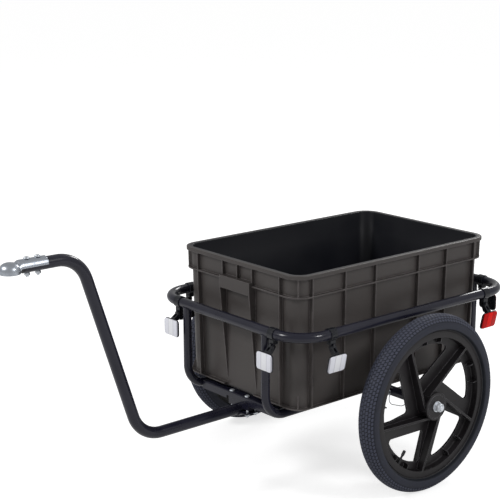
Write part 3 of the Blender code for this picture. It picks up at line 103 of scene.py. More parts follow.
def add_node(tree, kind, inputs, output=0, **settings):
    """Add a shader node with its settings, feed its inputs by name or number, and return one output."""
    node = tree.nodes.new("ShaderNode" + kind)
    for name, value in settings.items():
        setattr(node, name, value)
    for name, value in inputs.items():
        feed(tree, node.inputs[name], value)
    return node.outputs[output]


def add_maths(tree, operation, first, second=0.0):
    """Add a Math node on two values, each a socket or a number, and return its output."""
    return add_node(tree, "Math", {0: first, 1: second}, operation=operation)


def surface_place(tree):
    """Return the place on the surface in the piece's own metres."""
    return add_node(tree, "TexCoord", {}, "Object")


# %% [markdown]
# Black tube only looks round when it mirrors something bright, so the world is white for the camera, a little
# dimmer for mirror rays, and dimmest for the light that falls on surfaces. The floor could be a plain white
# emitter, but then it would show no shadow. Here it is a pale diffuse surface with a little glow added for
# camera and mirrors.

# %% World
AMBIENT_STRENGTH = 0.42
MIRRORED_STRENGTH = 0.36
world = bpy.data.worlds.new("white_room")
bpy.context.scene.world = world
world.use_nodes = True
world_tree = world.node_tree
world_rays = world_tree.nodes.new("ShaderNodeLightPath").outputs
world_seen = add_maths(world_tree, "MAXIMUM", world_rays["Is Camera Ray"], world_rays["Is Transmission Ray"])
world_mirrored = add_maths(world_tree, "MULTIPLY", world_rays["Is Glossy Ray"], MIRRORED_STRENGTH)
world_lit = add_maths(world_tree, "MAXIMUM", world_mirrored, AMBIENT_STRENGTH)
world_strength = add_maths(world_tree, "MAXIMUM", world_seen, world_lit)
world_light = world_tree.nodes["Background"].inputs
feed(world_tree, world_light["Strength"], world_strength)
feed(world_tree, world_light["Color"], WHITE)
print("world strengths:", AMBIENT_STRENGTH, "on surfaces and", MIRRORED_STRENGTH, "in mirrors")

# %% Floor
FLOOR_HALF_SIZE = 40.0
FLOOR_GLOW = 0.70
FLOOR_MIRRORED_SHARE = 0.15
FLOOR_SHINE = {"Base Color": (0.70, 0.70, 0.70, 1.0), "Roughness": 1.0, "Specular IOR Level": 0.0}
floor_signs = ((-1, -1), (1, -1), (1, 1), (-1, 1))
floor_corners = [(x * FLOOR_HALF_SIZE, y * FLOOR_HALF_SIZE, 0) for x, y in floor_signs]
floor_mesh = bpy.data.meshes.new("floor")
floor_mesh.from_pydata(floor_corners, [], [(0, 1, 2, 3)])
floor = bpy.data.objects.new("floor", floor_mesh)
bpy.context.collection.objects.link(floor)
floor_paint = bpy.data.materials.new("pale_floor")
floor_paint.use_nodes = True
floor_tree = floor_paint.node_tree
floor_shader = floor_tree.nodes["Principled BSDF"]
for label, value in FLOOR_SHINE.items():
    feed(floor_tree, floor_shader.inputs[label], value)
floor_rays = floor_tree.nodes.new("ShaderNodeLightPath").outputs
floor_mirrored = add_maths(floor_tree, "MULTIPLY", floor_rays["Is Glossy Ray"], FLOOR_MIRRORED_SHARE)
floor_seen = add_maths(floor_tree, "MAXIMUM", floor_rays["Is Camera Ray"], floor_mirrored)
floor_strength = add_maths(floor_tree, "MULTIPLY", floor_seen, FLOOR_GLOW)
floor_glow = add_node(floor_tree, "Emission", {"Strength": floor_strength})
floor_sum = add_node(floor_tree, "AddShader", {0: floor_shader.outputs[0], 1: floor_glow})
feed(floor_tree, floor_tree.nodes["Material Output"].inputs["Surface"], floor_sum)
floor_mesh.materials.append(floor_paint)
print("floor glow:", FLOOR_GLOW)

# %% [markdown]
# Three large soft lamps give the long highlights on the tubes: one from the front left, one from the right,
# and one from behind, which also parts the black pieces from each other.

# %% Lamps
LAMPS = {
    "front_softbox": ((-1.0, -3.1, 2.9), 0.9, 60.0),
    "side_softbox": ((3.3, 0.9, 2.6), 0.9, 46.0),
    "rear_softbox": ((-1.2, 3.0, 2.4), 0.8, 30.0),
}
AIM = Vector((0.0, 0.1, 0.3))
for lamp_name, (lamp_place, lamp_size, lamp_power) in LAMPS.items():
    lamp_data = bpy.data.lights.new(lamp_name, "AREA")
    lamp_data.size = lamp_size
    lamp_data.energy = lamp_power
    lamp = bpy.data.objects.new(lamp_name, lamp_data)
    bpy.context.collection.objects.link(lamp)
    lamp.location = lamp_place
    lamp.rotation_euler = (AIM - Vector(lamp_place)).to_track_quat("-Z", "Y").to_euler()
print(len(LAMPS), "lamps")

# %% [markdown]
# ## Shared shader effects
# Three effects come back in nearly every finish, so each is a node group that is built once. `patchy_finish`
# makes a colour and a roughness that drift a little over the surface. `soft_edges` rounds every edge in the
# shading and lightens it, partly as the wear of handling and partly as a painted highlight along the edge.
# `fine_grain` is the height of a moulded or sprayed surface.

# %% Helpers that start and fill a node group
COLOUR = "NodeSocketColor"
NUMBER = "NodeSocketFloat"
DIRECTION = "NodeSocketVector"
GREY = (0.5, 0.5, 0.5, 1.0)
LIGHT_GREY = (0.6, 0.6, 0.6, 1.0)


def start_group(name, inputs, outputs):
    """Make a shader node group, and return it with the sockets it is given and the sockets it returns."""
    group = bpy.data.node_groups.new(name, "ShaderNodeTree")
    for label, kind, value in inputs:
        group.interface.new_socket(label, in_out="INPUT", socket_type=kind).default_value = value
    for label, kind in outputs:
        group.interface.new_socket(label, in_out="OUTPUT", socket_type=kind)
    return group, group.nodes.new("NodeGroupInput").outputs, group.nodes.new("NodeGroupOutput").inputs


def add_mix(tree, factor, first, second):
    """Mix two colours, each a socket or a value, by a factor socket, and return the mixed colour."""
    return add_node(tree, "Mix", {"Factor": factor, 6: first, 7: second}, 2, data_type="RGBA")


def add_range(tree, value, low, high, to_low=0.0, to_high=1.0):
    """Stretch a value from one range to another, held at both ends, and return the output."""
    limits = {"From Min": low, "From Max": high, "To Min": to_low, "To Max": to_high}
    return add_node(tree, "MapRange", {"Value": value, **limits}, "Result")


def add_noise(tree, vector, scale, detail=3.0):
    """Add a noise texture at a scale, a socket or a number, and return its value."""
    return add_node(tree, "TexNoise", {"Vector": vector, "Scale": scale, "Detail": detail}, "Fac")


# %% Colour and roughness that drift
PATCH_RANGE = (0.35, 0.68)
patchy_finish, given, result = start_group(
    "patchy_finish",
    [
        ("Colour", COLOUR, GREY),
        ("Patch Colour", COLOUR, GREY),
        ("Scale", NUMBER, 20.0),
        ("Smooth", NUMBER, 0.3),
        ("Rough", NUMBER, 0.5),
    ],
    [("Colour", COLOUR), ("Roughness", NUMBER)],
)
clouds = add_noise(patchy_finish, surface_place(patchy_finish), given["Scale"], 5.0)
patches = add_range(patchy_finish, clouds, *PATCH_RANGE)
patched = add_mix(patchy_finish, patches, given["Colour"], given["Patch Colour"])
polish = add_range(patchy_finish, patches, 0.0, 1.0, given["Smooth"], given["Rough"])
feed(patchy_finish, result["Colour"], patched)
feed(patchy_finish, result["Roughness"], polish)

# %% [markdown]
# A Bevel node looks a short way round each point and returns the normal that a rounded edge would have. Where
# that normal leans away from the real one there is an edge, so the same node gives both the rounding and the
# mask of wear and painted highlight. A noise breaks the mask up, because no edge wears evenly.

# %% Rounded edges, rubbed and lit with painted highlight
BEVEL_SAMPLES = 6
EDGE_LEAN = (0.98, 0.80)
EDGE_NOISE_SCALE = 35.0
EDGE_NOISE_RANGE = (0.30, 0.62)
LEAST_EDGE_LIGHTENING = 0.45
soft_edges, given, result = start_group(
    "soft_edges",
    [
        ("Colour", COLOUR, GREY),
        ("Edge Colour", COLOUR, LIGHT_GREY),
        ("Radius", NUMBER, 0.0006),
        ("Wear And Highlight", NUMBER, 0.5),
    ],
    [("Colour", COLOUR), ("Normal", DIRECTION), ("Mask", NUMBER)],
)
rounding = add_node(soft_edges, "Bevel", {"Radius": given["Radius"]}, "Normal", samples=BEVEL_SAMPLES)
facing = add_node(soft_edges, "NewGeometry", {}, "Normal")
lean = add_node(soft_edges, "VectorMath", {0: rounding, 1: facing}, "Value", operation="DOT_PRODUCT")
edge = add_range(soft_edges, lean, *EDGE_LEAN)
edge_noise = add_noise(soft_edges, surface_place(soft_edges), EDGE_NOISE_SCALE)
uneven = add_range(soft_edges, edge_noise, *EDGE_NOISE_RANGE, LEAST_EDGE_LIGHTENING, 1.0)
uneven_edge = add_maths(soft_edges, "MULTIPLY", edge, uneven)
edge_wear_and_highlight = add_maths(soft_edges, "MULTIPLY", uneven_edge, given["Wear And Highlight"])
# The edge mask lightens the colour: partly wear, partly a painted highlight along the edge.
lightened = add_mix(soft_edges, edge_wear_and_highlight, given["Colour"], given["Edge Colour"])
for label, value in (("Colour", lightened), ("Normal", rounding), ("Mask", edge_wear_and_highlight)):
    feed(soft_edges, result[label], value)

# %% Grain of a moulded or sprayed surface
WAVE_SCALE = 60.0
fine_grain, given, result = start_group(
    "fine_grain",
    [("Scale", NUMBER, 900.0), ("Waviness", NUMBER, 0.3)],
    [("Height", NUMBER)],
)
grain_place = surface_place(fine_grain)
pits = add_noise(fine_grain, grain_place, given["Scale"], 2.0)
waves = add_noise(fine_grain, grain_place, WAVE_SCALE, 1.0)
waved = add_maths(fine_grain, "MULTIPLY", waves, given["Waviness"])
feed(fine_grain, result["Height"], add_maths(fine_grain, "ADD", pits, waved))
print("groups:", [group.name for group in bpy.data.node_groups])

# %% [markdown]
# ## Finishes
# Every finish takes the same road: the patchy colour goes through the soft edges into Base Color, and the
# grain goes through a Bump node on top of the rounded normal. A small helper lays that road, and each finish
# has its own values.

# %% A helper that starts a finish
finishes = {}


def start_finish(slot, shine, patchy, edges, grain, bump):
    """Make a finish from plain shader values and the three groups' values, and return its nodes."""
    material = bpy.data.materials.new(slot)
    material.use_nodes = True
    tree = material.node_tree
    shader = tree.nodes["Principled BSDF"].inputs
    for label, value in shine.items():
        feed(tree, shader[label], value)
    placed = []
    for group, values in ((patchy_finish, patchy), (soft_edges, edges), (fine_grain, grain)):
        node = tree.nodes.new("ShaderNodeGroup")
        node.node_tree = group
        for label, value in values.items():
            feed(tree, node.inputs[label], (*value, 1.0) if isinstance(value, tuple) else value)
        placed.append(node)
    patchy_node, edges_node, grain_node = placed
    bumps = tree.nodes.new("ShaderNodeBump")
    for label, value in zip(("Strength", "Distance"), bump):
        feed(tree, bumps.inputs[label], value)
    for socket, output in (
        (edges_node.inputs["Colour"], patchy_node.outputs["Colour"]),
        (shader["Base Color"], edges_node.outputs["Colour"]),
        (shader["Roughness"], patchy_node.outputs["Roughness"]),
        (bumps.inputs["Height"], grain_node.outputs["Height"]),
        (bumps.inputs["Normal"], edges_node.outputs["Normal"]),
        (shader["Normal"], bumps.outputs["Normal"]),
    ):
        feed(tree, socket, output)
    finishes[slot] = material
    return tree, patchy_node, edges_node, bumps


# %% [markdown]
# The frame is sprayed with gloss black powder. Powder never lies quite flat, so its reflections wobble a
# little. Its edges are painted greyer, partly as thinner powder and partly as a painted highlight.

# %% Frame paint
start_finish(
    "frame_paint",
    {"Specular IOR Level": 0.30, "Coat Weight": 0.35, "Coat Roughness": 0.06},
    {
        "Colour": (0.010, 0.010, 0.021),
        "Patch Colour": (0.016, 0.016, 0.029),
        "Scale": 14.0,
        "Smooth": 0.24,
        "Rough": 0.36,
    },
    {"Edge Colour": (0.10, 0.10, 0.11), "Radius": 0.0007, "Wear And Highlight": 0.35},
    {"Scale": 1100.0, "Waviness": 1.2},
    (0.10, 0.0002),
)

# %% [markdown]
# The wheels are moulded in black plastic with a fine spark-eroded grain. It is browner and duller than the
# paint, and its edges get a thin light line that is a painted highlight.

# %% Wheel plastic
start_finish(
    "wheel_plastic",
    {"Specular IOR Level": 0.36},
    {
        "Colour": (0.0105, 0.0090, 0.0102),
        "Patch Colour": (0.018, 0.016, 0.018),
        "Scale": 18.0,
        "Smooth": 0.34,
        "Rough": 0.48,
    },
    {"Edge Colour": (0.26, 0.255, 0.275), "Radius": 0.0012, "Wear And Highlight": 0.85},
    {"Scale": 1500.0, "Waviness": 0.5},
    (0.20, 0.0002),
)

# %% [markdown]
# Tyre rubber has a bluish bloom and hardly any shine. The tread is real mesh, but the soft light washes out
# its depth, so the blocks' tops are painted paler as painted light, and the grooves and the bead are painted
# dark as painted shade. The mesh carries a number of painted light and shade for each point: 0 in a groove
# and at the bead, a half on the sidewall and 1 on a block. The air tubes are a softer, plainer rubber.

# %% Tyre rubber
LIT_BLOCK_TOP_COLOUR = (0.056, 0.061, 0.090, 1.0)
GROOVE_SHADE_COLOUR = (0.007, 0.009, 0.015, 1.0)
LIT_TOP_RANGE = (0.55, 1.0)
GROOVE_SHADE_RANGE = (0.45, 0.0)
tyre_tree, tyre_patchy, tyre_edges, _ = start_finish(
    "tyre_rubber",
    {"Specular IOR Level": 0.30},
    {
        "Colour": (0.020, 0.022, 0.034),
        "Patch Colour": (0.030, 0.033, 0.048),
        "Scale": 40.0,
        "Smooth": 0.50,
        "Rough": 0.72,
    },
    {"Edge Colour": (0.10, 0.11, 0.14), "Radius": 0.0005, "Wear And Highlight": 0.4},
    {"Scale": 1300.0, "Waviness": 0.4},
    (0.30, 0.0003),
)
# Painted light and shade: pale block tops, and dark grooves and bead.
light_and_shade = add_node(tyre_tree, "Attribute", {}, "Fac", attribute_name="light_and_shade")
lit_top = add_range(tyre_tree, light_and_shade, *LIT_TOP_RANGE)
groove_shade = add_range(tyre_tree, light_and_shade, *GROOVE_SHADE_RANGE)
with_lit_tops = add_mix(tyre_tree, lit_top, tyre_patchy.outputs["Colour"], LIT_BLOCK_TOP_COLOUR)
feed(tyre_tree, tyre_edges.inputs["Colour"], add_mix(tyre_tree, groove_shade, with_lit_tops, GROOVE_SHADE_COLOUR))

# %% Air tube rubber
start_finish(
    "tube_rubber",
    {"Specular IOR Level": 0.40},
    {
        "Colour": (0.010, 0.010, 0.012),
        "Patch Colour": (0.018, 0.018, 0.021),
        "Scale": 60.0,
        "Smooth": 0.32,
        "Rough": 0.50,
    },
    {"Edge Colour": (0.08, 0.08, 0.085), "Radius": 0.0004, "Wear And Highlight": 0.4},
    {"Scale": 1500.0, "Waviness": 0.3},
    (0.15, 0.0002),
)

# %% [markdown]
# The crate is recycled polypropylene: a warm dark grey, satin, and slightly streaked where the melt flowed up
# the walls. Its edges and fins are painted lighter, partly as scuffs from stacking and partly as a painted
# highlight. The inside lies deep in the open box, so it is painted blacker as painted shade: the mesh marks
# it with a number called inside, which is 1 there.

# %% Crate plastic
CRATE_INSIDE_SHADE_COLOUR = (0.0045, 0.0050, 0.0085, 1.0)
crate_tree, crate_patchy, crate_edges, _ = start_finish(
    "crate_plastic",
    {"Specular IOR Level": 0.34},
    {
        "Colour": (0.060, 0.053, 0.051),
        "Patch Colour": (0.074, 0.066, 0.063),
        "Scale": 9.0,
        "Smooth": 0.36,
        "Rough": 0.48,
    },
    {"Edge Colour": (0.32, 0.285, 0.295), "Radius": 0.0013, "Wear And Highlight": 0.9},
    {"Scale": 1000.0, "Waviness": 0.8},
    (0.15, 0.0002),
)
# Painted shade: the inside faces get a darker colour.
inside = add_node(crate_tree, "Attribute", {}, "Fac", attribute_name="inside")
inside_shaded = add_mix(crate_tree, inside, crate_patchy.outputs["Colour"], CRATE_INSIDE_SHADE_COLOUR)
feed(crate_tree, crate_edges.inputs["Colour"], inside_shaded)

# %% [markdown]
# The coupling is pressed steel and the bolts, axles and pins are turned, all plated with bright zinc. Plated
# steel is a metal with a bluish tint whose roughness changes from patch to patch. The small parts are less
# than fully metallic here, and their pale diffuse colour is painted light: it stands in for the bright room
# that they would mirror.

# %% Bright zinc
ZINC_SHADE = 0.8
# Below full metallic, the pale colour shows as painted light, in place of the bright reflections of the room.
for slot, metallic, colour, smooth, rough, grain_scale in (
    ("coupling_zinc", 1.0, (0.55, 0.59, 0.65), 0.26, 0.44, 420.0),
    ("bolt_zinc", 0.7, (0.70, 0.74, 0.79), 0.20, 0.36, 900.0),
    ("axle_zinc", 0.3, (0.86, 0.90, 0.96), 0.20, 0.34, 900.0),
    ("pin_zinc", 0.7, (0.70, 0.74, 0.79), 0.12, 0.26, 1200.0),
    ("bearing_steel", 1.0, (0.66, 0.70, 0.74), 0.22, 0.36, 900.0),
):
    start_finish(
        slot,
        {"Metallic": metallic},
        {
            "Colour": colour,
            "Patch Colour": tuple(ZINC_SHADE * value for value in colour),
            "Scale": 160.0,
            "Smooth": smooth,
            "Rough": rough,
        },
        {"Edge Colour": (0.86, 0.88, 0.90), "Radius": 0.0005, "Wear And Highlight": 0.6},
        {"Scale": grain_scale, "Waviness": 0.6},
        (0.25, 0.0003),
    )

# %% [markdown]
# A sealed bearing shows a black rubber lip between its two rings. It sits deep in the hub, so the rest of its
# face is painted dark as painted shade. The distance from the axle line tells them apart, so only a narrow
# ring stays bright.

# %% Bearing seals and painted shade
SEAL_RADIUS = 0.0130
BRIGHT_RING_RADIUS = 0.0142
RING_BLUR = 0.0002
SEAL_AND_SHADE_COLOUR = (0.006, 0.006, 0.007, 1.0)
ACROSS_AXLE = (0.0, 1.0, 1.0)
seal_tree = finishes["bearing_steel"].node_tree
seal_shader = seal_tree.nodes["Principled BSDF"].inputs
seal_place = surface_place(seal_tree)
from_axle = add_node(seal_tree, "VectorMath", {0: seal_place, 1: ACROSS_AXLE}, operation="MULTIPLY")
seal_reach = add_node(seal_tree, "VectorMath", {0: from_axle}, "Value", operation="LENGTH")
beyond_seal = add_range(seal_tree, seal_reach, SEAL_RADIUS - RING_BLUR, SEAL_RADIUS)
within_ring = add_range(seal_tree, seal_reach, BRIGHT_RING_RADIUS, BRIGHT_RING_RADIUS - RING_BLUR)
bright_ring = add_maths(seal_tree, "MULTIPLY", beyond_seal, within_ring)
ring_colour = seal_shader["Base Color"].links[0].from_socket
# Outside the bright ring the bearing is painted black: its rubber seal, and painted shade deep in the hub.
feed(seal_tree, seal_shader["Base Color"], add_mix(seal_tree, bright_ring, SEAL_AND_SHADE_COLOUR, ring_colour))
feed(seal_tree, seal_shader["Metallic"], bright_ring)

# %% [markdown]
# The reflectors' brackets and backs, and the drawbar's plugs, are glossy black nylon.

# %% Reflector and plug plastic
for slot, smooth, rough in (("reflector_plastic", 0.18, 0.32), ("plug_plastic", 0.34, 0.48)):
    start_finish(
        slot,
        {"Specular IOR Level": 0.42},
        {
            "Colour": (0.007, 0.008, 0.012),
            "Patch Colour": (0.012, 0.013, 0.018),
            "Scale": 50.0,
            "Smooth": smooth,
            "Rough": rough,
        },
        {"Edge Colour": (0.08, 0.08, 0.09), "Radius": 0.0006, "Wear And Highlight": 0.35},
        {"Scale": 1600.0, "Waviness": 0.3},
        (0.10, 0.0002),
    )

# %% [markdown]
# A reflector lens is clear plastic with a sheet of tiny prisms behind it. The prisms could be modelled, but
# at two millimetres they would cost thousands of faces. A pattern of cells in the bump and the colour does
# the same, in three upright zones: in the middle one the prisms lean the other way and send more light back,
# so it is painted lighter, as a painted reflection.

# %% Prismatic lenses
ZONE_HALF_WIDTH = 0.0085
ZONE_SEAM = 0.0007
LENS_BORDER = 0.0222
PRISM_SCALE = 520.0
PRISM_JITTER = 0.15
PRISM_RANGE = (0.1, 0.7)
PRISM_SHARE = 0.35
SEAM_SHARE = 0.7
SEAM_FADE = (1.6, 0.5)


def start_lens(slot, colour, lit_middle_colour, border_colour, prism_colour):
    """Make a lens finish with three prism zones and a plain border, in the lens's own coordinates."""
    tree, _, edges_node, bumps = start_finish(
        slot,
        {"Specular IOR Level": 0.06, "Coat Weight": 0.12, "Coat Roughness": 0.05},
        {"Colour": colour, "Patch Colour": colour, "Scale": 120.0, "Smooth": 0.16, "Rough": 0.30},
        {"Edge Colour": border_colour, "Radius": 0.0006, "Wear And Highlight": 0.8},
        {"Scale": 900.0, "Waviness": 0.2},
        (0.5, 0.0004),
    )
    place = surface_place(tree)
    aside = add_maths(tree, "ABSOLUTE", add_node(tree, "SeparateXYZ", {0: place}, "X"))
    middle = add_range(tree, aside, ZONE_HALF_WIDTH + ZONE_SEAM, ZONE_HALF_WIDTH - ZONE_SEAM)
    from_seam = add_maths(tree, "ABSOLUTE", add_maths(tree, "SUBTRACT", aside, ZONE_HALF_WIDTH))
    seam = add_range(tree, from_seam, *(ZONE_SEAM * share for share in SEAM_FADE))
    border = add_range(tree, aside, LENS_BORDER - ZONE_SEAM, LENS_BORDER)
    cell_values = {"Vector": place, "Scale": PRISM_SCALE, "Randomness": PRISM_JITTER}
    cells = add_node(tree, "TexVoronoi", cell_values, "Distance")
    prism = add_range(tree, cells, *PRISM_RANGE)
    # The middle zone is painted lighter: a painted reflection of the light its prisms send back.
    look = add_mix(tree, middle, (*colour, 1.0), (*lit_middle_colour, 1.0))
    prism_share = add_maths(tree, "MULTIPLY", prism, PRISM_SHARE)
    look = add_mix(tree, prism_share, look, (*prism_colour, 1.0))
    for share in (add_maths(tree, "MULTIPLY", seam, SEAM_SHARE), border):
        look = add_mix(tree, share, look, (*border_colour, 1.0))
    feed(tree, edges_node.inputs["Colour"], look)
    feed(tree, bumps.inputs["Height"], cells)


start_lens("lens_white", (0.90, 0.91, 0.98), (0.96, 0.97, 1.00), (0.52, 0.52, 0.58), (0.80, 0.80, 0.88))
start_lens("lens_red", (0.62, 0.002, 0.002), (0.95, 0.010, 0.006), (0.20, 0.001, 0.001), (0.42, 0.001, 0.001))
print("finishes:", sorted(finishes))

# %% [markdown]
# ## Placing a detailed piece
# The CAD solids are many-sided so that they stay light. Each one that is round is rebuilt here with more
# sides, in the same place. One function puts such a piece on its body, hides the node it stands for, and
# gives it its finish.

# %% Putting a piece in a node's place
AXLE_Y = sum(corner.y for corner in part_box("cross_tube")) / 2
X_AXIS = Vector((1, 0, 0))
Y_AXIS = Vector((0, 1, 0))
Z_AXIS = Vector((0, 0, 1))
SHARP_ANGLE = math.radians(32)


def at(x, y, z):
    """Return the placing at a place that is counted from the axle line's middle, on the ground."""
    return Matrix.Translation((0, AXLE_Y, 0)) @ Matrix.Translation((x, y, z))


def stand_for(node, mesh, placing=at(0, 0, 0), turned=Matrix.Identity(4)):
    """Show a mesh instead of a CAD node, on the node's body and in the node's finish."""
    if turned != Matrix.Identity(4):
        mesh = mesh.copy()
        mesh.transform(turned)
    piece = bpy.data.objects.new("fine_" + node, mesh)
    bpy.context.collection.objects.link(piece)
    piece.matrix_world = placing
    if not mesh.materials:
        mesh.materials.append(finishes[slot_names[node]])
    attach(piece, body_names[node])
    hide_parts(node)


print("the axle line is", round(AXLE_Y * 1000, 1), "mm behind the middle")

# %% [markdown]
# ## Ways to make a mesh
# Four ways cover the whole trailer: a section swept along a bent path for tubes and wires, a profile turned
# about an axis for round parts, an outline pushed along an axis for sheet and plates, and Booleans for holes
# and joints. Blender's curves and Screw modifier could do the first two as well. Writing the rings out keeps
# every place exact.

# %% Finishing a mesh
TURN = math.radians(90)
MERGE_DISTANCE = 1e-7


def finish_mesh(name, work):
    """Turn a bmesh into a mesh with outward faces, smooth but for its sharp edges."""
    bmesh.ops.remove_doubles(work, verts=work.verts, dist=MERGE_DISTANCE)
    bmesh.ops.recalc_face_normals(work, faces=work.faces)
    mesh = bpy.data.meshes.new(name)
    work.to_mesh(mesh)
    work.free()
    mesh.shade_smooth()
    mesh.set_sharp_from_angle(angle=SHARP_ANGLE)
    return mesh


def merged_mesh(name, meshes):
    """Put meshes into one without cutting them where they meet."""
    work = bmesh.new()
    for mesh in meshes:
        work.from_mesh(mesh)
    return finish_mesh(name, work)


def add_ring(work, points):
    """Add a ring of vertices to a bmesh."""
    return [work.verts.new(point) for point in points]


def join_rings(work, ring, after):
    """Join two rings of equal count with quads."""
    count = len(ring)
    for number in range(count):
        nearby = (number + 1) % count
        work.faces.new((ring[number], ring[nearby], after[nearby], after[number]))


# %% Bent paths
BEND_STEP = math.radians(6)


def bent_path(corners, bends, bend_step=BEND_STEP):
    """Return stations (place, direction) along straight runs joined by round bends."""
    corners = [Vector(corner) for corner in corners]
    runs = [(after - before).normalized() for before, after in zip(corners, corners[1:])]
    stations = [(corners[0], runs[0])]
    for corner, arriving, leaving, bend in zip(corners[1:], runs, runs[1:], bends):
        turn = arriving.angle(leaving)
        inward = (leaving - arriving * math.cos(turn)) / math.sin(turn)
        start = corner - arriving * bend * math.tan(turn / 2)
        centre = start + inward * bend
        steps = max(2, round(turn / bend_step))
        for number in range(steps + 1):
            angle = turn * number / steps
            spot = centre + bend * (arriving * math.sin(angle) - inward * math.cos(angle))
            stations.append((spot, arriving * math.cos(angle) + inward * math.sin(angle)))
    stations.append((corners[-1], runs[-1]))
    return stations


# %% Swept tubes
TUBE_SIDES = 48
END_ROUNDING = 0.0004
ROD_SIDES = 32
MOSTLY_ALONG = 0.9


def ring_points(spot, direction, across, radius, sides):
    """Return points round a station, and the direction across that the next ring starts from."""
    across = (across - direction * across.dot(direction)).normalized()
    other = direction.cross(across)
    angles = [2 * math.pi * number / sides for number in range(sides)]
    return [spot + radius * (across * math.cos(angle) + other * math.sin(angle)) for angle in angles], across


def tube_mesh(name, stations, radius, across, bore=0.0, sides=TUBE_SIDES):
    """Sweep a round section along stations with broken end edges, hollow where a bore is given."""
    rounding = min(END_ROUNDING, radius / 4)
    (start, start_way), (end, end_way) = stations[0], stations[-1]
    outer = [(start, start_way, radius - rounding), (start + start_way * rounding, start_way, radius)]
    outer += [(spot, direction, radius) for spot, direction in stations[1:-1]]
    outer += [(end - end_way * rounding, end_way, radius), (end, end_way, radius - rounding)]
    work = bmesh.new()
    rings = []
    for spot, direction, reach in outer:
        points, across = ring_points(spot, direction, across, reach, sides)
        rings.append(add_ring(work, points))
    if bore:
        for ring in rings[::-1]:
            middle = sum((vert.co for vert in ring), Vector()) / sides
            rings.append(add_ring(work, [middle + (vert.co - middle).normalized() * bore for vert in ring]))
        rings.append(rings[0])
    else:
        work.faces.new(rings[0])
        work.faces.new(rings[-1])
    for ring, after in zip(rings, rings[1:]):
        join_rings(work, ring, after)
    return finish_mesh(name, work)


def rod_mesh(name, start, end, radius, sides=ROD_SIDES):
    """Make a plain round rod between two points, as a pin or as a cutter for a hole."""
    start = Vector(start)
    end = Vector(end)
    direction = (end - start).normalized()
    across = X_AXIS if abs(direction.x) < MOSTLY_ALONG else Z_AXIS
    work = bmesh.new()
    rings = []
    for spot in (start, end):
        points, across = ring_points(spot, direction, across, radius, sides)
        rings.append(add_ring(work, points))
    join_rings(work, *rings)
    for ring in rings:
        work.faces.new(ring)
    return finish_mesh(name, work)


# %% Turned parts
TURNED_SIDES = 48
ANGLE_NUDGE = 1e-9
DOME_DEGREES = range(15, 91, 15)


def hex_section(width):
    """Return the radius function of a hexagon with this width across its flats."""
    sixth = math.radians(60)
    return lambda angle: width / 2 / math.cos((angle + ANGLE_NUDGE) % sixth - sixth / 2)


def turned_mesh(name, profile, sides=TURNED_SIDES, closed=False, axis=Z_AXIS, start=0.0):
    """Turn a profile of (section, height) about an axis; a section of 0 is a point on the axis."""
    work = bmesh.new()
    turn = Z_AXIS.rotation_difference(axis).to_matrix()
    rings = []
    for section, height in profile:
        if section == 0:
            rings.append(add_ring(work, [turn @ Vector((0, 0, height))]))
            continue
        points = []
        for number in range(sides):
            angle = start + 2 * math.pi * number / sides
            radius = section(angle) if callable(section) else section
            points.append(turn @ Vector((radius * math.cos(angle), radius * math.sin(angle), height)))
        rings.append(add_ring(work, points))
    pairs = list(zip(rings, rings[1:]))
    if closed:
        pairs.append((rings[-1], rings[0]))
    for ring, after in pairs:
        if len(ring) == 1 or len(after) == 1:
            point, circle = (ring[0], after) if len(ring) == 1 else (after[0], ring)
            for number in range(sides):
                work.faces.new((point, circle[number], circle[(number + 1) % sides]))
        else:
            join_rings(work, ring, after)
    return finish_mesh(name, work)


def dome_points(radius, height, rim_share, foot=0.0, degrees=DOME_DEGREES, fullness=(1, 1)):
    """Return a dome's outline from beside its top to its rim, whose height is a share of the dome's."""
    points = []
    for angle in map(math.radians, degrees):
        rise = rim_share + (1 - rim_share) * math.cos(angle) ** fullness[1]
        points.append((radius * math.sin(angle) ** fullness[0], foot + height * rise))
    return points


# %% Plates and sheet sections
def arc_points(centre, radius, first, last, steps):
    """Return points of an arc from one angle to another."""
    angles = [first + (last - first) * number / steps for number in range(steps + 1)]
    return [(centre[0] + radius * math.cos(angle), centre[1] + radius * math.sin(angle)) for angle in angles]


def rounded_outline(corners, bend_step=math.radians(15)):
    """Return an outline whose corners (u, v, fillet) are rounded where their fillet isn't 0."""
    outline = []
    for number, (u, v, fillet) in enumerate(corners):
        if not fillet:
            outline.append((u, v))
            continue
        before = Vector((*corners[number - 1][:2], 0))
        after = Vector((*corners[(number + 1) % len(corners)][:2], 0))
        path = bent_path((before, Vector((u, v, 0)), after), (fillet,), bend_step)[1:-1]
        outline.extend((spot.x, spot.y) for spot, _ in path)
    return outline


def rounded_rectangle(width, height, corner, steps=8):
    """Return a rectangle's outline with round corners, centred on its middle."""
    outline = []
    for number, (side_u, side_v) in enumerate(((1, 1), (-1, 1), (-1, -1), (1, -1))):
        centre = (side_u * (width / 2 - corner), side_v * (height / 2 - corner))
        outline.extend(arc_points(centre, corner, number * TURN, (number + 1) * TURN, steps))
    return outline


def layered_mesh(name, layers, axes=(X_AXIS, Y_AXIS, Z_AXIS)):
    """Join outlines of equal count, each (outline, height), into one closed solid."""
    work = bmesh.new()
    u_axis, v_axis, height_axis = axes
    rings = [
        add_ring(work, [u_axis * u + v_axis * v + height_axis * height for u, v in outline])
        for outline, height in layers
    ]
    for ring, after in zip(rings, rings[1:]):
        join_rings(work, ring, after)
    work.faces.new(rings[0])
    work.faces.new(rings[-1])
    return finish_mesh(name, work)


def prism_mesh(name, outline, low, high, axes=(X_AXIS, Y_AXIS, Z_AXIS)):
    """Push an outline along the third axis from low to high."""
    return layered_mesh(name, ((outline, low), (outline, high)), axes)


def box_mesh(name, low, high):
    """Make a box between two corners, as a cutter."""
    outline = [(low[0], low[1]), (high[0], low[1]), (high[0], high[1]), (low[0], high[1])]
    return prism_mesh(name, outline, low[2], high[2])


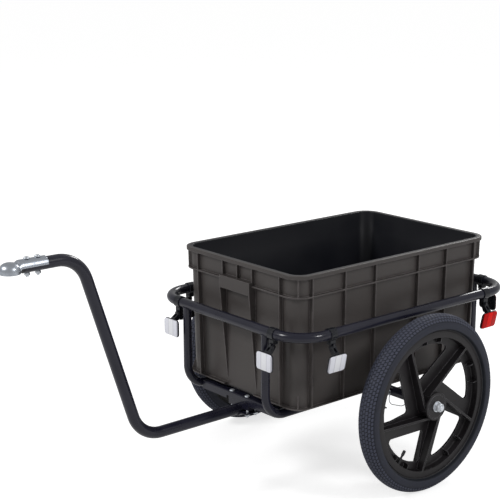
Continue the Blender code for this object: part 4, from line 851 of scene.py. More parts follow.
# %% Joining and cutting
def shape_with(name, body, added=(), removed=()):
    """Join meshes to a body, cut others out of it and return the result as one mesh."""
    base = bpy.data.objects.new(name, body)
    bpy.context.collection.objects.link(base)
    helpers = []
    for operation, meshes in (("UNION", added), ("DIFFERENCE", removed)):
        for mesh in meshes:
            helper = bpy.data.objects.new(name + "_tool", mesh)
            bpy.context.collection.objects.link(helper)
            helpers.append(helper)
            step = base.modifiers.new(operation, "BOOLEAN")
            step.operation = operation
            step.solver = "EXACT"
            step.object = helper
    bpy.context.view_layer.update()
    result = bpy.data.meshes.new_from_object(base.evaluated_get(bpy.context.evaluated_depsgraph_get()))
    result.name = name
    for thing in (base, *helpers):
        bpy.data.objects.remove(thing, do_unlink=True)
    result.shade_smooth()
    result.set_sharp_from_angle(angle=SHARP_ANGLE)
    return result


# %% [markdown]
# ## The tube frame
# The rim is one bent tube, butted in the middle of its rear run, where the joint shows as a fine line. The
# crate hangs inside it with room for fingers all round, so the rim's size follows from the crate's.

# %% Rim tube
GAP = 0.0003
WHEEL_RADIUS = 0.200
RIM_TUBE_RADIUS = 0.011
TUBE_WALL = 0.0015
RIM_LENGTH = 0.659
RIM_WIDTH = 0.477
RIM_BEND = 0.070
RIM_Z = 0.391
FRAME_SET_BACK = 0.0055
SEAM_X = -0.008
RIM_FRONT_Y = FRAME_SET_BACK - RIM_LENGTH / 2
RIM_REAR_Y = FRAME_SET_BACK + RIM_LENGTH / 2
half_width = RIM_WIDTH / 2
rim_corners = (
    (SEAM_X + GAP / 2, RIM_REAR_Y, RIM_Z),
    (half_width, RIM_REAR_Y, RIM_Z),
    (half_width, RIM_FRONT_Y, RIM_Z),
    (-half_width, RIM_FRONT_Y, RIM_Z),
    (-half_width, RIM_REAR_Y, RIM_Z),
    (SEAM_X - GAP / 2, RIM_REAR_Y, RIM_Z),
)
rim_stations = bent_path(rim_corners, [RIM_BEND] * 4)
rim_mesh = tube_mesh("rim_tube", rim_stations, RIM_TUBE_RADIUS, Z_AXIS, RIM_TUBE_RADIUS - TUBE_WALL)
stand_for("rim_tube", rim_mesh)
print("rim tube:", len(rim_mesh.vertices), "vertices")

# %% [markdown]
# Four half rails hang under the rim like a cradle. Each one's top is cut to fit round the rim tube and welded
# to it, and its other end is cut to fit round the cross tube. The weld is a bead of melted steel: a thin ring
# that follows the joint and swells and narrows as the welder's hand moved.

# %% Weld beads
WELD_RADIUS = 0.0013
WELD_STEPS = 72
WELD_SIDES = 8
WELD_RIPPLES = 26
WELD_SWELL = 0.16


def saddle_ring(radius, other_radius):
    """Return the line round a tube of one radius where it meets a wider one that lies across it along X."""
    line = []
    for number in range(WELD_STEPS):
        angle = 2 * math.pi * number / WELD_STEPS
        x, y = radius * math.cos(angle), radius * math.sin(angle)
        line.append(Vector((x, y, math.sqrt(other_radius ** 2 - y ** 2))))
    return line


def weld_mesh(name, line):
    """Sweep a small rippled section round a closed line."""
    work = bmesh.new()
    rings = []
    for number, spot in enumerate(line):
        along = (line[(number + 1) % WELD_STEPS] - line[number - 1]).normalized()
        swell = 1.0 + WELD_SWELL * math.sin(2 * math.pi * WELD_RIPPLES * number / WELD_STEPS)
        rings.append(add_ring(work, ring_points(spot, along, Z_AXIS, WELD_RADIUS * swell, WELD_SIDES)[0]))
    for number in range(WELD_STEPS):
        join_rings(work, rings[number - 1], rings[number])
    return finish_mesh(name, work)


# %% Half rails
RAIL_RADIUS = 0.0095
RAIL_X = 0.134
RAIL_Z = 0.1964
RAIL_BEND = 0.052
RAIL_MIDDLE_END = 0.008
CROSS_TUBE_RADIUS = 0.011
WELD_STANDING = 0.0004
COPE_REACH = 0.3


def cope_mesh(name, y, z, radius):
    """Make the cutter that fits a rail's end round a tube along X."""
    return rod_mesh(name, (-COPE_REACH, y, z), (COPE_REACH, y, z), radius + GAP, TUBE_SIDES)


rail_weld = saddle_ring(RAIL_RADIUS, RIM_TUBE_RADIUS + WELD_STANDING)
cross_cope = cope_mesh("cross_cope", 0, WHEEL_RADIUS, CROSS_TUBE_RADIUS)
for end_name, end_y, toward in (("front", RIM_FRONT_Y, -1), ("rear", RIM_REAR_Y, 1)):
    rim_cope = cope_mesh("rim_cope", end_y, RIM_Z, RIM_TUBE_RADIUS)
    rail_corners = (
        (0, end_y, RIM_Z),
        (0, end_y, RAIL_Z),
        (0, toward * RAIL_MIDDLE_END, RAIL_Z),
    )
    rail_stations = bent_path(rail_corners, [RAIL_BEND])
    plain_rail = tube_mesh("plain_rail", rail_stations, RAIL_RADIUS, X_AXIS, RAIL_RADIUS - TUBE_WALL)
    top_weld = weld_mesh("top_weld", [Vector((v.x, end_y + v.y, RIM_Z - v.z)) for v in rail_weld])
    rail_mesh = shape_with("rail_" + end_name, plain_rail, removed=(rim_cope, cross_cope))
    welded_rail = merged_mesh("welded_rail_" + end_name, (rail_mesh, top_weld))
    for side_name, side in (("left", 1), ("right", -1)):
        stand_for(f"rail_{side_name}_{end_name}", welded_rail, at(side * RAIL_X, 0, 0))
print("rails welded with beads", WELD_RADIUS * 2000, "mm wide")

# %% [markdown]
# The cross tube lies over the rails' meeting ends and holds both stub axles. A cross-drilled hole at each end
# takes the lock pin.

# %% Cross tube
CROSS_TUBE_BORE = 0.0080
CROSS_TUBE_HALF_LENGTH = 0.245
PIN_X = 0.194
PIN_RADIUS = 0.004
SLIDING_GAP = 0.0005


def pin_hole(name, x, z):
    """Make the cutter of the hole that a lock pin passes through."""
    reach = 2 * CROSS_TUBE_RADIUS
    return rod_mesh(name, (x, -reach, z), (x, reach, z), PIN_RADIUS + SLIDING_GAP)


cross_stations = [(Vector((side * CROSS_TUBE_HALF_LENGTH, 0, WHEEL_RADIUS)), X_AXIS) for side in (-1, 1)]
plain_cross = tube_mesh("plain_cross", cross_stations, CROSS_TUBE_RADIUS, Z_AXIS, CROSS_TUBE_BORE)
cross_holes = [pin_hole("cross_hole", side * PIN_X, WHEEL_RADIUS) for side in (-1, 1)]
stand_for("cross_tube", shape_with("cross_tube", plain_cross, removed=cross_holes))

# %% [markdown]
# ## The drawbar's seat
# A folded sheet channel lies between the two front bends, and a block and a stamped half clamp under it grip
# the drawbar. Folded sheet has a small radius on each fold, and that radius is what catches the light.

# %% Front channel
CHANNEL_FRONT_Y = -0.290
CHANNEL_DEPTH = 0.0365
CHANNEL_TOP_Z = 0.206
CHANNEL_HEIGHT = 0.0185
CHANNEL_SHEET = 0.0025
FOLD_RADIUS = 0.0030
NOTCH_HALF_WIDTH = 0.038
NOTCH_HEIGHT = 0.007
NOTCH_REACH = 1.6 * CHANNEL_SHEET
SADDLE_BOLT_X = 0.026
SADDLE_BOLT_INSET = 0.0068
BOLT_RADIUS = 0.003
channel_rear_y = CHANNEL_FRONT_Y + CHANNEL_DEPTH
bolt_rows = (CHANNEL_FRONT_Y + SADDLE_BOLT_INSET, channel_rear_y - SADDLE_BOLT_INSET)
bolt_places = [(x, y) for y in bolt_rows for x in (SADDLE_BOLT_X, -SADDLE_BOLT_X)]


def saddle_holes(low, high):
    """Make the cutters of the four bolt holes between two heights."""
    return [rod_mesh("bolt_hole", (x, y, low), (x, y, high), BOLT_RADIUS + GAP) for x, y in bolt_places]


channel_foot = CHANNEL_TOP_Z - CHANNEL_HEIGHT
inner_top = CHANNEL_TOP_Z - CHANNEL_SHEET
inner_fold = FOLD_RADIUS - CHANNEL_SHEET
channel_outline = rounded_outline(
    (
        (CHANNEL_FRONT_Y, channel_foot, 0),
        (CHANNEL_FRONT_Y, CHANNEL_TOP_Z, FOLD_RADIUS),
        (channel_rear_y, CHANNEL_TOP_Z, FOLD_RADIUS),
        (channel_rear_y, channel_foot, 0),
        (channel_rear_y - CHANNEL_SHEET, channel_foot, 0),
        (channel_rear_y - CHANNEL_SHEET, inner_top, inner_fold),
        (CHANNEL_FRONT_Y + CHANNEL_SHEET, inner_top, inner_fold),
        (CHANNEL_FRONT_Y + CHANNEL_SHEET, channel_foot, 0),
    )
)
wheel_plane = (Y_AXIS, Z_AXIS, X_AXIS)
channel_half = RAIL_X - RAIL_RADIUS - GAP
plain_channel = prism_mesh("plain_channel", channel_outline, -channel_half, channel_half, wheel_plane)
notches = [
    box_mesh(
        "channel_notch",
        (-NOTCH_HALF_WIDTH, middle - NOTCH_REACH, channel_foot - CHANNEL_SHEET),
        (NOTCH_HALF_WIDTH, middle + NOTCH_REACH, channel_foot + NOTCH_HEIGHT),
    )
    for middle in (CHANNEL_FRONT_Y, channel_rear_y)
]
channel_holes = saddle_holes(CHANNEL_TOP_Z - 2 * CHANNEL_SHEET, CHANNEL_TOP_Z + CHANNEL_SHEET)
stand_for("front_channel", shape_with("front_channel", plain_channel, removed=(*notches, *channel_holes)))

# %% Saddles
SADDLE_HALF_WIDTH = 0.034
SADDLE_SHEET = 0.0025
CLAMP_OPENING = 0.0035
LOWER_SADDLE_OVERHANG = 0.004
DRAWBAR_RADIUS = 0.0125
DRAWBAR_Z = 0.1725
GROOVE_STEPS = 24
across_drawbar = (X_AXIS, Z_AXIS, Y_AXIS)
groove = DRAWBAR_RADIUS + GAP
half_opening = math.asin(CLAMP_OPENING / groove)


def saddle_mesh(name, outline, low_y, high_y, low_z, high_z):
    """Push a saddle's outline along the drawbar and drill its four holes between two heights."""
    plain = prism_mesh("plain_" + name, outline, low_y, high_y, across_drawbar)
    return shape_with(name, plain, removed=saddle_holes(low_z, high_z))


block_top = inner_top - GAP
block_foot = DRAWBAR_Z + CLAMP_OPENING
block_arch = arc_points((0, DRAWBAR_Z), groove, half_opening, math.pi - half_opening, GROOVE_STEPS)
block_outline = [
    (SADDLE_HALF_WIDTH, block_foot),
    (SADDLE_HALF_WIDTH, block_top),
    (-SADDLE_HALF_WIDTH, block_top),
    (-SADDLE_HALF_WIDTH, block_foot),
    *reversed(block_arch),
]
block_reach = (CHANNEL_FRONT_Y + CHANNEL_SHEET + GAP, channel_rear_y - CHANNEL_SHEET - GAP)
block_drill = (block_foot - CHANNEL_SHEET, block_top + CHANNEL_SHEET)
stand_for("upper_saddle", saddle_mesh("upper_saddle", block_outline, *block_reach, *block_drill))

wing_top = DRAWBAR_Z - CLAMP_OPENING
wing_foot = wing_top - SADDLE_SHEET
outer_groove = groove + SADDLE_SHEET
outer_dip = math.asin((CLAMP_OPENING + SADDLE_SHEET) / outer_groove)
clamp_outline = [
    (SADDLE_HALF_WIDTH, wing_foot),
    (SADDLE_HALF_WIDTH, wing_top),
    *arc_points((0, DRAWBAR_Z), groove, -half_opening, half_opening - math.pi, GROOVE_STEPS),
    (-SADDLE_HALF_WIDTH, wing_top),
    (-SADDLE_HALF_WIDTH, wing_foot),
    *arc_points((0, DRAWBAR_Z), outer_groove, outer_dip - math.pi, -outer_dip, GROOVE_STEPS),
]
clamp_reach = (CHANNEL_FRONT_Y - LOWER_SADDLE_OVERHANG, channel_rear_y + LOWER_SADDLE_OVERHANG)
clamp_drill = (wing_foot - SADDLE_SHEET, DRAWBAR_Z)
stand_for("lower_saddle", saddle_mesh("lower_saddle", clamp_outline, *clamp_reach, *clamp_drill))
print("the clamp opens", round(CLAMP_OPENING * 2000, 1), "mm round the drawbar")

# %% [markdown]
# A bolt is one turned profile: a domed head, the shank, a hexagonal nut and the threaded tip. A real thread
# is a helix, but at this size rings with the thread's pitch look the same and are far simpler.

# %% Bolts
BOLT_HEAD_RADIUS = 0.006
BOLT_HEAD_HEIGHT = 0.004
BOLT_HEAD_RIM = 0.25
BOLT_NUT_WIDTH = 0.010
BOLT_NUT_HEIGHT = 0.005
BOLT_NUT_CHAMFER = 0.048
BOLT_NUT_FACE = 0.97
BOLT_END = 0.003
THREAD_PITCH = 0.0008
THREAD_DEPTH = 0.0004
THREAD_RIDGE = 0.1
THREAD_GROOVE = 0.6
BOLT_TIP = 0.8


def thread_profile(radius, top, foot):
    """Return the ridges of a thread's outline from one height down to another."""
    points = []
    height = top
    while height - THREAD_PITCH > foot:
        points.append((radius, height - THREAD_RIDGE * THREAD_PITCH))
        points.append((radius - THREAD_DEPTH, height - THREAD_GROOVE * THREAD_PITCH))
        height -= THREAD_PITCH
    return points


def bolt_mesh(name, grip):
    """Turn a domed bolt with its nut: z = 0 is under the head, and the nut is grip below it."""
    nut_foot = -grip - BOLT_NUT_HEIGHT
    tip = nut_foot - BOLT_END
    chamfer = BOLT_NUT_CHAMFER * BOLT_NUT_WIDTH
    face = BOLT_NUT_WIDTH / 2 * BOLT_NUT_FACE
    profile = [
        (0, BOLT_HEAD_HEIGHT),
        *dome_points(BOLT_HEAD_RADIUS, BOLT_HEAD_HEIGHT, BOLT_HEAD_RIM),
        (BOLT_HEAD_RADIUS, 0),
        (BOLT_RADIUS, 0),
        (BOLT_RADIUS, -grip),
        (face, -grip),
        (hex_section(BOLT_NUT_WIDTH), -grip - chamfer),
        (hex_section(BOLT_NUT_WIDTH), nut_foot + chamfer),
        (face, nut_foot),
        (BOLT_RADIUS, nut_foot),
        *thread_profile(BOLT_RADIUS, nut_foot, tip),
        (BOLT_RADIUS * BOLT_TIP, tip),
        (0, tip),
    ]
    return turned_mesh(name, profile)


saddle_bolt = bolt_mesh("saddle_bolt", CHANNEL_TOP_Z - wing_foot + 2 * GAP)
for number, (x, y) in enumerate(bolt_places, start=1):
    stand_for(f"saddle_bolt_{number}", saddle_bolt, at(x, y, CHANNEL_TOP_Z + GAP))
print(len(bolt_places), "saddle bolts")

# %% [markdown]
# ## The drawbar
# The drawbar is the longest line in the picture: it leaves the clamp level, bends up steeply, and bends
# forward again at the top. Its ends are closed with pressed-in plastic plugs.

# %% Drawbar and plugs
DRAWBAR_WALL = 0.002
DRAWBAR_REAR_Y = -0.222
DRAWBAR_LOWER_CORNER = (-0.5534, DRAWBAR_Z)
DRAWBAR_UPPER_CORNER = (-0.6884, 0.5844)
DRAWBAR_LOWER_BEND = 0.074
DRAWBAR_UPPER_BEND = 0.070
DRAWBAR_BEND_STEP = math.radians(4)
COUPLING_BOLT_PLACES = (0.010, 0.034)
PLUG_HEAD = 0.004
PLUG_RIM = 0.2
PLUG_STEM = 0.015
nose = Vector((0, -0.815, DRAWBAR_UPPER_CORNER[1]))


def coupling_bolt_holes():
    """Make the cutters of the two bolt holes through the coupling and the drawbar."""
    reach = Z_AXIS * 2 * DRAWBAR_RADIUS
    middles = [nose + Y_AXIS * distance for distance in COUPLING_BOLT_PLACES]
    return [rod_mesh("coupling_hole", spot - reach, spot + reach, BOLT_RADIUS + GAP) for spot in middles]


rear_end = Vector((0, DRAWBAR_REAR_Y, DRAWBAR_Z))
drawbar_corners = (rear_end, (0, *DRAWBAR_LOWER_CORNER), (0, *DRAWBAR_UPPER_CORNER), nose)
drawbar_bends = (DRAWBAR_LOWER_BEND, DRAWBAR_UPPER_BEND)
drawbar_stations = bent_path(drawbar_corners, drawbar_bends, DRAWBAR_BEND_STEP)
drawbar_bore = DRAWBAR_RADIUS - DRAWBAR_WALL
plain_drawbar = tube_mesh("plain_drawbar", drawbar_stations, DRAWBAR_RADIUS, X_AXIS, drawbar_bore)
stand_for("drawbar_tube", shape_with("drawbar_tube", plain_drawbar, removed=coupling_bolt_holes()))
front_stem = BOLT_RADIUS + 2 * GAP - COUPLING_BOLT_PLACES[0]
stem = drawbar_bore - 2 * GAP
for end_name, place, axis, stem_foot in (
    ("front", nose, -Y_AXIS, front_stem),
    ("rear", rear_end, Y_AXIS, -PLUG_STEM),
):
    dome = dome_points(DRAWBAR_RADIUS, PLUG_HEAD, PLUG_RIM, GAP)
    below_dome = [(DRAWBAR_RADIUS, GAP), (stem, GAP), (stem, stem_foot), (0, stem_foot)]
    profile = [(0, PLUG_HEAD + GAP), *dome, *below_dome]
    stand_for(f"drawbar_{end_name}_plug", turned_mesh(f"{end_name}_plug", profile, axis=axis), at(*place))
print("drawbar:", len(drawbar_stations), "stations")

# %% [markdown]
# ## The coupling
# A half shell of pressed steel clasps the drawbar's nose and ends in a cup that drops over the scooter's
# ball. The outside and the inside are each lofted and joined to their dome, and then one is cut from the
# other.

# %% Sections of the coupling shell
SHELL_THICKNESS = 0.002
SHELL_LENGTH = 0.050
NECK_START = 0.0065
NECK_END = 0.015
NECK_HALF_WIDTH = 0.015
NECK_RISE = 0.0105
NECK_DROP = 0.007
NECK_STEPS = 7
ARCH_STEPS = 33


def half_section(half_width, rise, drop):
    """Return an arched section in (x, z) whose sides go on down below the arch by the drop."""
    arch = [(half_width * x, rise * z) for x, z in arc_points((0, 0), 1.0, 0, math.pi, ARCH_STEPS)]
    return [(half_width, -drop), *arch, (-half_width, -drop)]


def eased_sections(start, end):
    """Return sections between two (y, half width, rise, drop), easing in and out as pressed steel does."""
    sections = []
    for number in range(NECK_STEPS + 1):
        share = number / NECK_STEPS
        eased = share * share * (3 - 2 * share)
        y = start[0] + (end[0] - start[0]) * share
        sizes = [one + (other - one) * eased for one, other in zip(start[1:], end[1:])]
        sections.append((half_section(*sizes), y))
    return sections


def shell_surface(name, rear, start, tube_size, neck_size, front):
    """Loft one surface of the shell at the nose, from round the tube to a lower, narrower neck."""
    half_width, rise, drop = neck_size
    layers = [
        (half_section(*tube_size), rear),
        *eased_sections((start, *tube_size), (-NECK_END, *neck_size)),
        (half_section(half_width, rise - SHELL_THICKNESS, drop), front),
    ]
    mesh = layered_mesh(name, layers, across_drawbar)
    mesh.transform(Matrix.Translation(nose))
    return mesh


# %% Coupling shell
CUP_RADIUS = 0.021
CUP_REACH = 0.0265
CUP_WALL = 0.003
CUP_BOTTOM_Z = 0.5755
CUP_TOP_Z = 0.597
CUP_RIM = 0.22
CUP_DEGREES = range(10, 90, 8)
CUP_FULLNESS = (0.8, 0.85)
CUP_SIDES = 56
CUP_START = 0.013


def cup_surface(name, radius, height, skirt):
    """Turn one surface of the cup at its place: a full dome and a skirt below it."""
    dome = dome_points(radius, height, CUP_RIM, degrees=CUP_DEGREES, fullness=CUP_FULLNESS)
    profile = [(0, height), *dome, (radius, height * CUP_RIM), (radius, -skirt), (0, -skirt)]
    mesh = turned_mesh(name, profile, CUP_SIDES, start=CUP_START)
    mesh.transform(Matrix.Translation((0, nose.y - CUP_REACH, CUP_BOTTOM_Z)))
    return mesh


shell_inner = DRAWBAR_RADIUS + GAP
shell_outer = shell_inner + SHELL_THICKNESS
over_cup = CUP_REACH - NECK_END / 3
cup_depth = CUP_TOP_Z - CUP_BOTTOM_Z
shell_mesh = shell_surface(
    "shell",
    SHELL_LENGTH,
    -NECK_START,
    (shell_outer, shell_outer, GAP),
    (NECK_HALF_WIDTH, NECK_RISE, NECK_DROP),
    -over_cup,
)
shell_hollow = shell_surface(
    "shell_hollow",
    2 * SHELL_LENGTH,
    -NECK_START + SHELL_THICKNESS / 2,
    (shell_inner, shell_inner, CUP_RADIUS),
    (NECK_HALF_WIDTH - SHELL_THICKNESS, NECK_RISE - SHELL_THICKNESS, CUP_RADIUS),
    -over_cup - SHELL_THICKNESS,
)
cup = cup_surface("cup", CUP_RADIUS, cup_depth, 0.0)
cup_hollow = cup_surface("cup_hollow", CUP_RADIUS - CUP_WALL, cup_depth - CUP_WALL, CUP_WALL)
coupling_outside = shape_with("coupling_outside", shell_mesh, (cup,))
coupling_inside = shape_with("coupling_inside", shell_hollow, (cup_hollow,))
coupling = shape_with("coupling", coupling_outside, removed=(coupling_inside, *coupling_bolt_holes()))
stand_for("coupling_shell", coupling)
coupling_bolt = bolt_mesh("coupling_bolt", shell_outer + DRAWBAR_RADIUS + 2 * GAP)
for number, distance in enumerate(COUPLING_BOLT_PLACES, start=1):
    bolt_place = nose + Y_AXIS * distance + Z_AXIS * (shell_outer + GAP)
    stand_for(f"coupling_bolt_{number}", coupling_bolt, at(*bolt_place))
print("coupling:", len(coupling.polygons), "faces")

# %% [markdown]
# ## The wheels
# Each wheel is one moulding. A turned profile gives hub, web and rim channel with the small fillets that a
# mould needs, five windows are cut through the web, and a blade stands on each spoke. Two thin ribs cross the
# rim's recess at every window. The left and right wheels are mirrored, so one function makes both.

# %% Wheel profile
TRACK = 0.594
RIM_EDGE_RADIUS = 0.165
RIM_INNER_RADIUS = 0.1495
RIM_FLOOR = 0.0035
RIM_HALF_WIDTH = 0.0155
RIM_FLANGE = 0.0027
WEB_THICKNESS = 0.005
WEB_INSET = 0.003
HUB_HALF_LENGTH = 0.0285
HUB_CAP_RADIUS = 0.0315
HUB_CAP_THICKNESS = 0.0045
HUB_BARREL_RADIUS = 0.029
HUB_END_WALL = 0.006
HUB_HOLE_RADIUS = 0.009
HUB_GROOVE = (0.0062, 0.0044)
HUB_GROOVE_DEPTH = 0.0009
BEARING_RADIUS = 0.016
PRESS_GAP = 1.5 * GAP
WHEEL_SIDES = 120
FILLET_STEP = math.radians(30)
WEB_FILLET = 0.0020
MOULD_FILLET = 0.0012
EDGE_FILLET = 0.0008
CAP_FILLET = 0.0006
FINE_FILLET = 0.0004


def wheel_profile(outward):
    """Return the wheel's closed profile as (radius, x), with its mould fillets."""
    web_front = -WEB_INSET + WEB_THICKNESS / 2
    web_back = -WEB_INSET - WEB_THICKNESS / 2
    cap = HUB_HALF_LENGTH - HUB_CAP_THICKNESS
    wall = HUB_HALF_LENGTH - HUB_END_WALL
    flange = RIM_HALF_WIDTH - RIM_FLANGE
    seat = RIM_INNER_RADIUS + RIM_FLOOR
    bore = BEARING_RADIUS + PRESS_GAP
    groove_low, groove_high = (HUB_CAP_RADIUS - inset for inset in HUB_GROOVE)
    groove_floor = HUB_HALF_LENGTH - HUB_GROOVE_DEPTH
    corners = (
        (HUB_HOLE_RADIUS, HUB_HALF_LENGTH, FINE_FILLET),
        (groove_low, HUB_HALF_LENGTH, 0),
        (groove_low, groove_floor, 0),
        (groove_high, groove_floor, 0),
        (groove_high, HUB_HALF_LENGTH, 0),
        (HUB_CAP_RADIUS, HUB_HALF_LENGTH, MOULD_FILLET),
        (HUB_CAP_RADIUS, cap, CAP_FILLET),
        (HUB_BARREL_RADIUS, cap, CAP_FILLET),
        (HUB_BARREL_RADIUS, web_front, 0),
        (RIM_INNER_RADIUS, web_front, WEB_FILLET),
        (RIM_INNER_RADIUS, RIM_HALF_WIDTH, MOULD_FILLET),
        (RIM_EDGE_RADIUS, RIM_HALF_WIDTH, EDGE_FILLET),
        (RIM_EDGE_RADIUS, flange, FINE_FILLET),
        (seat, flange, EDGE_FILLET),
        (seat, -flange, EDGE_FILLET),
        (RIM_EDGE_RADIUS, -flange, FINE_FILLET),
        (RIM_EDGE_RADIUS, -RIM_HALF_WIDTH, EDGE_FILLET),
        (RIM_INNER_RADIUS, -RIM_HALF_WIDTH, MOULD_FILLET),
        (RIM_INNER_RADIUS, web_back, WEB_FILLET),
        (HUB_BARREL_RADIUS, web_back, 0),
        (HUB_BARREL_RADIUS, -HUB_HALF_LENGTH, MOULD_FILLET),
        (bore, -HUB_HALF_LENGTH, FINE_FILLET),
        (bore, wall, 0),
        (HUB_HOLE_RADIUS, wall, 0),
    )
    return [(radius, x * outward) for radius, x in rounded_outline(corners, FILLET_STEP)]


# %% Windows, blades and ribs
SPOKE_COUNT = 5
WINDOW_OUTER_RADIUS = 0.133
WINDOW_CORNER_RADIUS = 0.060
WINDOW_START = math.radians(116)
WINDOW_EDGE_DIRECTION = math.radians(34.5)
WINDOW_FILLET = 0.007
WINDOW_ARC_STEPS = 16
WINDOW_ARC_TRIM = 3
BLADE_OFFSET = 0.0295
BLADE_DIRECTION = math.radians(178.5)
BLADE_THICKNESS = 0.005
BLADE_HUB_HALF_HEIGHT = 0.022
RIB_SPREAD = math.radians(9)
RIB_THICKNESS = 0.0016
RIB_TOP = 0.0125
RIB_OVERLAP = 0.001
RIB_TOP_INSET = 0.007


def polar(radius, angle):
    """Return the (u, v) point at a radius and an angle."""
    return radius * math.cos(angle), radius * math.sin(angle)


def spoke_axes(angle):
    """Return the axes of a plate that runs outwards from the hub at an angle: along, across and aside."""
    along = Y_AXIS * math.cos(angle) + Z_AXIS * math.sin(angle)
    return along, X_AXIS, Z_AXIS * math.cos(angle) - Y_AXIS * math.sin(angle)


def window_outline(number):
    """Return the outline of one window in (y, z) about the hub, and the angle of its outer arc's middle."""
    turn = number * 2 * math.pi / SPOKE_COUNT
    start = WINDOW_START + turn
    inner = Vector(polar(WINDOW_CORNER_RADIUS, start))
    along = Vector(polar(1.0, WINDOW_EDGE_DIRECTION + turn))
    half = inner.dot(along)
    reach = math.sqrt(half * half + WINDOW_OUTER_RADIUS ** 2 - WINDOW_CORNER_RADIUS ** 2) - half
    far = inner + along * reach
    end = math.atan2(far.y, far.x)
    while end > start:
        end -= 2 * math.pi
    while start - end > math.pi:
        end += 2 * math.pi
    arc = arc_points((0, 0), WINDOW_OUTER_RADIUS, end, start, WINDOW_ARC_STEPS)
    corners = [(inner.x, inner.y, WINDOW_FILLET), (*arc[0], WINDOW_FILLET)]
    corners.extend((u, v, 0) for u, v in arc[WINDOW_ARC_TRIM:-WINDOW_ARC_TRIM])
    corners.append((*arc[-1], WINDOW_FILLET))
    return rounded_outline(corners), (start + end) / 2


def blade_mesh(number):
    """Make one spoke's upright blade, tangent to the hub, from the hub barrel to the rim."""
    turn = BLADE_DIRECTION + number * 2 * math.pi / SPOKE_COUNT
    reach = math.sqrt((RIM_INNER_RADIUS + RIM_FLOOR / 2) ** 2 - BLADE_OFFSET ** 2)
    rim_half = RIM_HALF_WIDTH - GAP
    outline = (
        (0, -BLADE_HUB_HALF_HEIGHT),
        (reach, -rim_half),
        (reach, rim_half),
        (0, BLADE_HUB_HALF_HEIGHT),
    )
    return prism_mesh("blade", outline, BLADE_OFFSET - BLADE_THICKNESS, BLADE_OFFSET, spoke_axes(turn))


def rib_mesh(angle, outward):
    """Make a thin rib across the rim's recess, standing on the ring round the windows."""
    foot = -WEB_INSET * outward
    top = RIB_TOP * outward
    rim = RIM_INNER_RADIUS + RIB_OVERLAP
    outline = (
        (WINDOW_OUTER_RADIUS + RIB_OVERLAP, foot),
        (rim, foot),
        (rim, top),
        (WINDOW_OUTER_RADIUS + RIB_TOP_INSET, top),
    )
    return prism_mesh("rib", outline, -RIB_THICKNESS / 2, RIB_THICKNESS / 2, spoke_axes(angle))


# %% Both wheels
VALVE_RADIUS = 0.0035
VALVE_INSET = 0.0042
VALVE_ANGLE = math.radians(232)
VALVE_HOLE_SIDES = 24
wheel_places = {"left": (1, VALVE_ANGLE), "right": (-1, math.radians(88))}


def wheel_placing(side, valve_angle):
    """Return the place of a wheel, and the turn that brings its valve to an angle."""
    return at(side * TRACK / 2, 0, WHEEL_RADIUS), Matrix.Rotation(valve_angle - VALVE_ANGLE, 4, "X")


def valve_hole(outward):
    """Make the cutter of the valve's hole through the rim."""
    direction, _, _ = spoke_axes(VALVE_ANGLE)
    offset = X_AXIS * VALVE_INSET * outward
    low = direction * (RIM_INNER_RADIUS - RIM_FLOOR) + offset
    high = direction * RIM_EDGE_RADIUS + offset
    return rod_mesh("valve_hole", low, high, VALVE_RADIUS + GAP, VALVE_HOLE_SIDES)


def wheel_mesh(name, outward):
    """Mould a wheel about X: hub, web with five windows, five blades, ribs and the rim channel."""
    profile = wheel_profile(outward)
    turned = turned_mesh("turned_wheel", profile, WHEEL_SIDES, closed=True, axis=X_AXIS, start=TURN)
    windows = []
    added = []
    for number in range(SPOKE_COUNT):
        outline, middle = window_outline(number)
        windows.append(prism_mesh("window", outline, -RIM_HALF_WIDTH, RIM_HALF_WIDTH, wheel_plane))
        added.append(blade_mesh(number))
        added.extend(rib_mesh(middle + sign * RIB_SPREAD, outward) for sign in (-1, 1))
    bored = shape_with("bored_wheel", turned, removed=(*windows, valve_hole(outward)))
    return shape_with(name, bored, added=added)


for side_name, (side, valve_angle) in wheel_places.items():
    wheel = wheel_mesh(f"{side_name}_wheel", side)
    stand_for(f"{side_name}_wheel", wheel, *wheel_placing(side, valve_angle))
    print(side_name, "wheel:", len(wheel.polygons), "faces")

# %% [markdown]
# ## The tyres
# A tyre's outline is a smooth curve from bead to bead. Its tread is a brick pattern of small blocks with
# slanted gaps. A displacement texture could press it in, but a formula that lowers each point in a groove
# keeps the pattern exact and closes neatly round the wheel.

# %% Tyre outline
TYRE_HALF_WIDTH = 0.0235
BEAD_WIDTH = 0.0040
BLOCKS_ROUND = 132
STEPS_PER_BLOCK = 8
BLOCK_ROWS = 8
STEPS_PER_ROW = 6
BLOCK_GAP = 0.20
ROW_GAP = 0.15
BLOCK_SLANT = 0.28
BLOCK_STAGGER = 0.5
TREAD_DEPTH = 0.0013
TREAD_REACH = 0.0270
BEAD_SHADOW = 0.0058
SIDE_END = math.radians(108)
SIDE_STEPS = 8
FOOT_STEPS = ((0.0030, 0.0060), (0.0018, 0.0026), (0.0008, 0.0004))
HOLLOW_FOOT = 0.003
HOLLOW_SIDE = (0.017, 0.0190)
HOLLOW_CROWN = (0.006, 0.00893)
tyre_seat = RIM_INNER_RADIUS + RIM_FLOOR + GAP
tyre_heel = RIM_HALF_WIDTH - RIM_FLANGE - GAP
tyre_toe = tyre_heel - BEAD_WIDTH


def crown_point(angle):
    """Return the (radius, x) point of the tyre's round outside at an angle from its crown."""
    radius = WHEEL_RADIUS - TYRE_HALF_WIDTH + TYRE_HALF_WIDTH * math.cos(angle)
    return radius, TYRE_HALF_WIDTH * math.sin(angle)


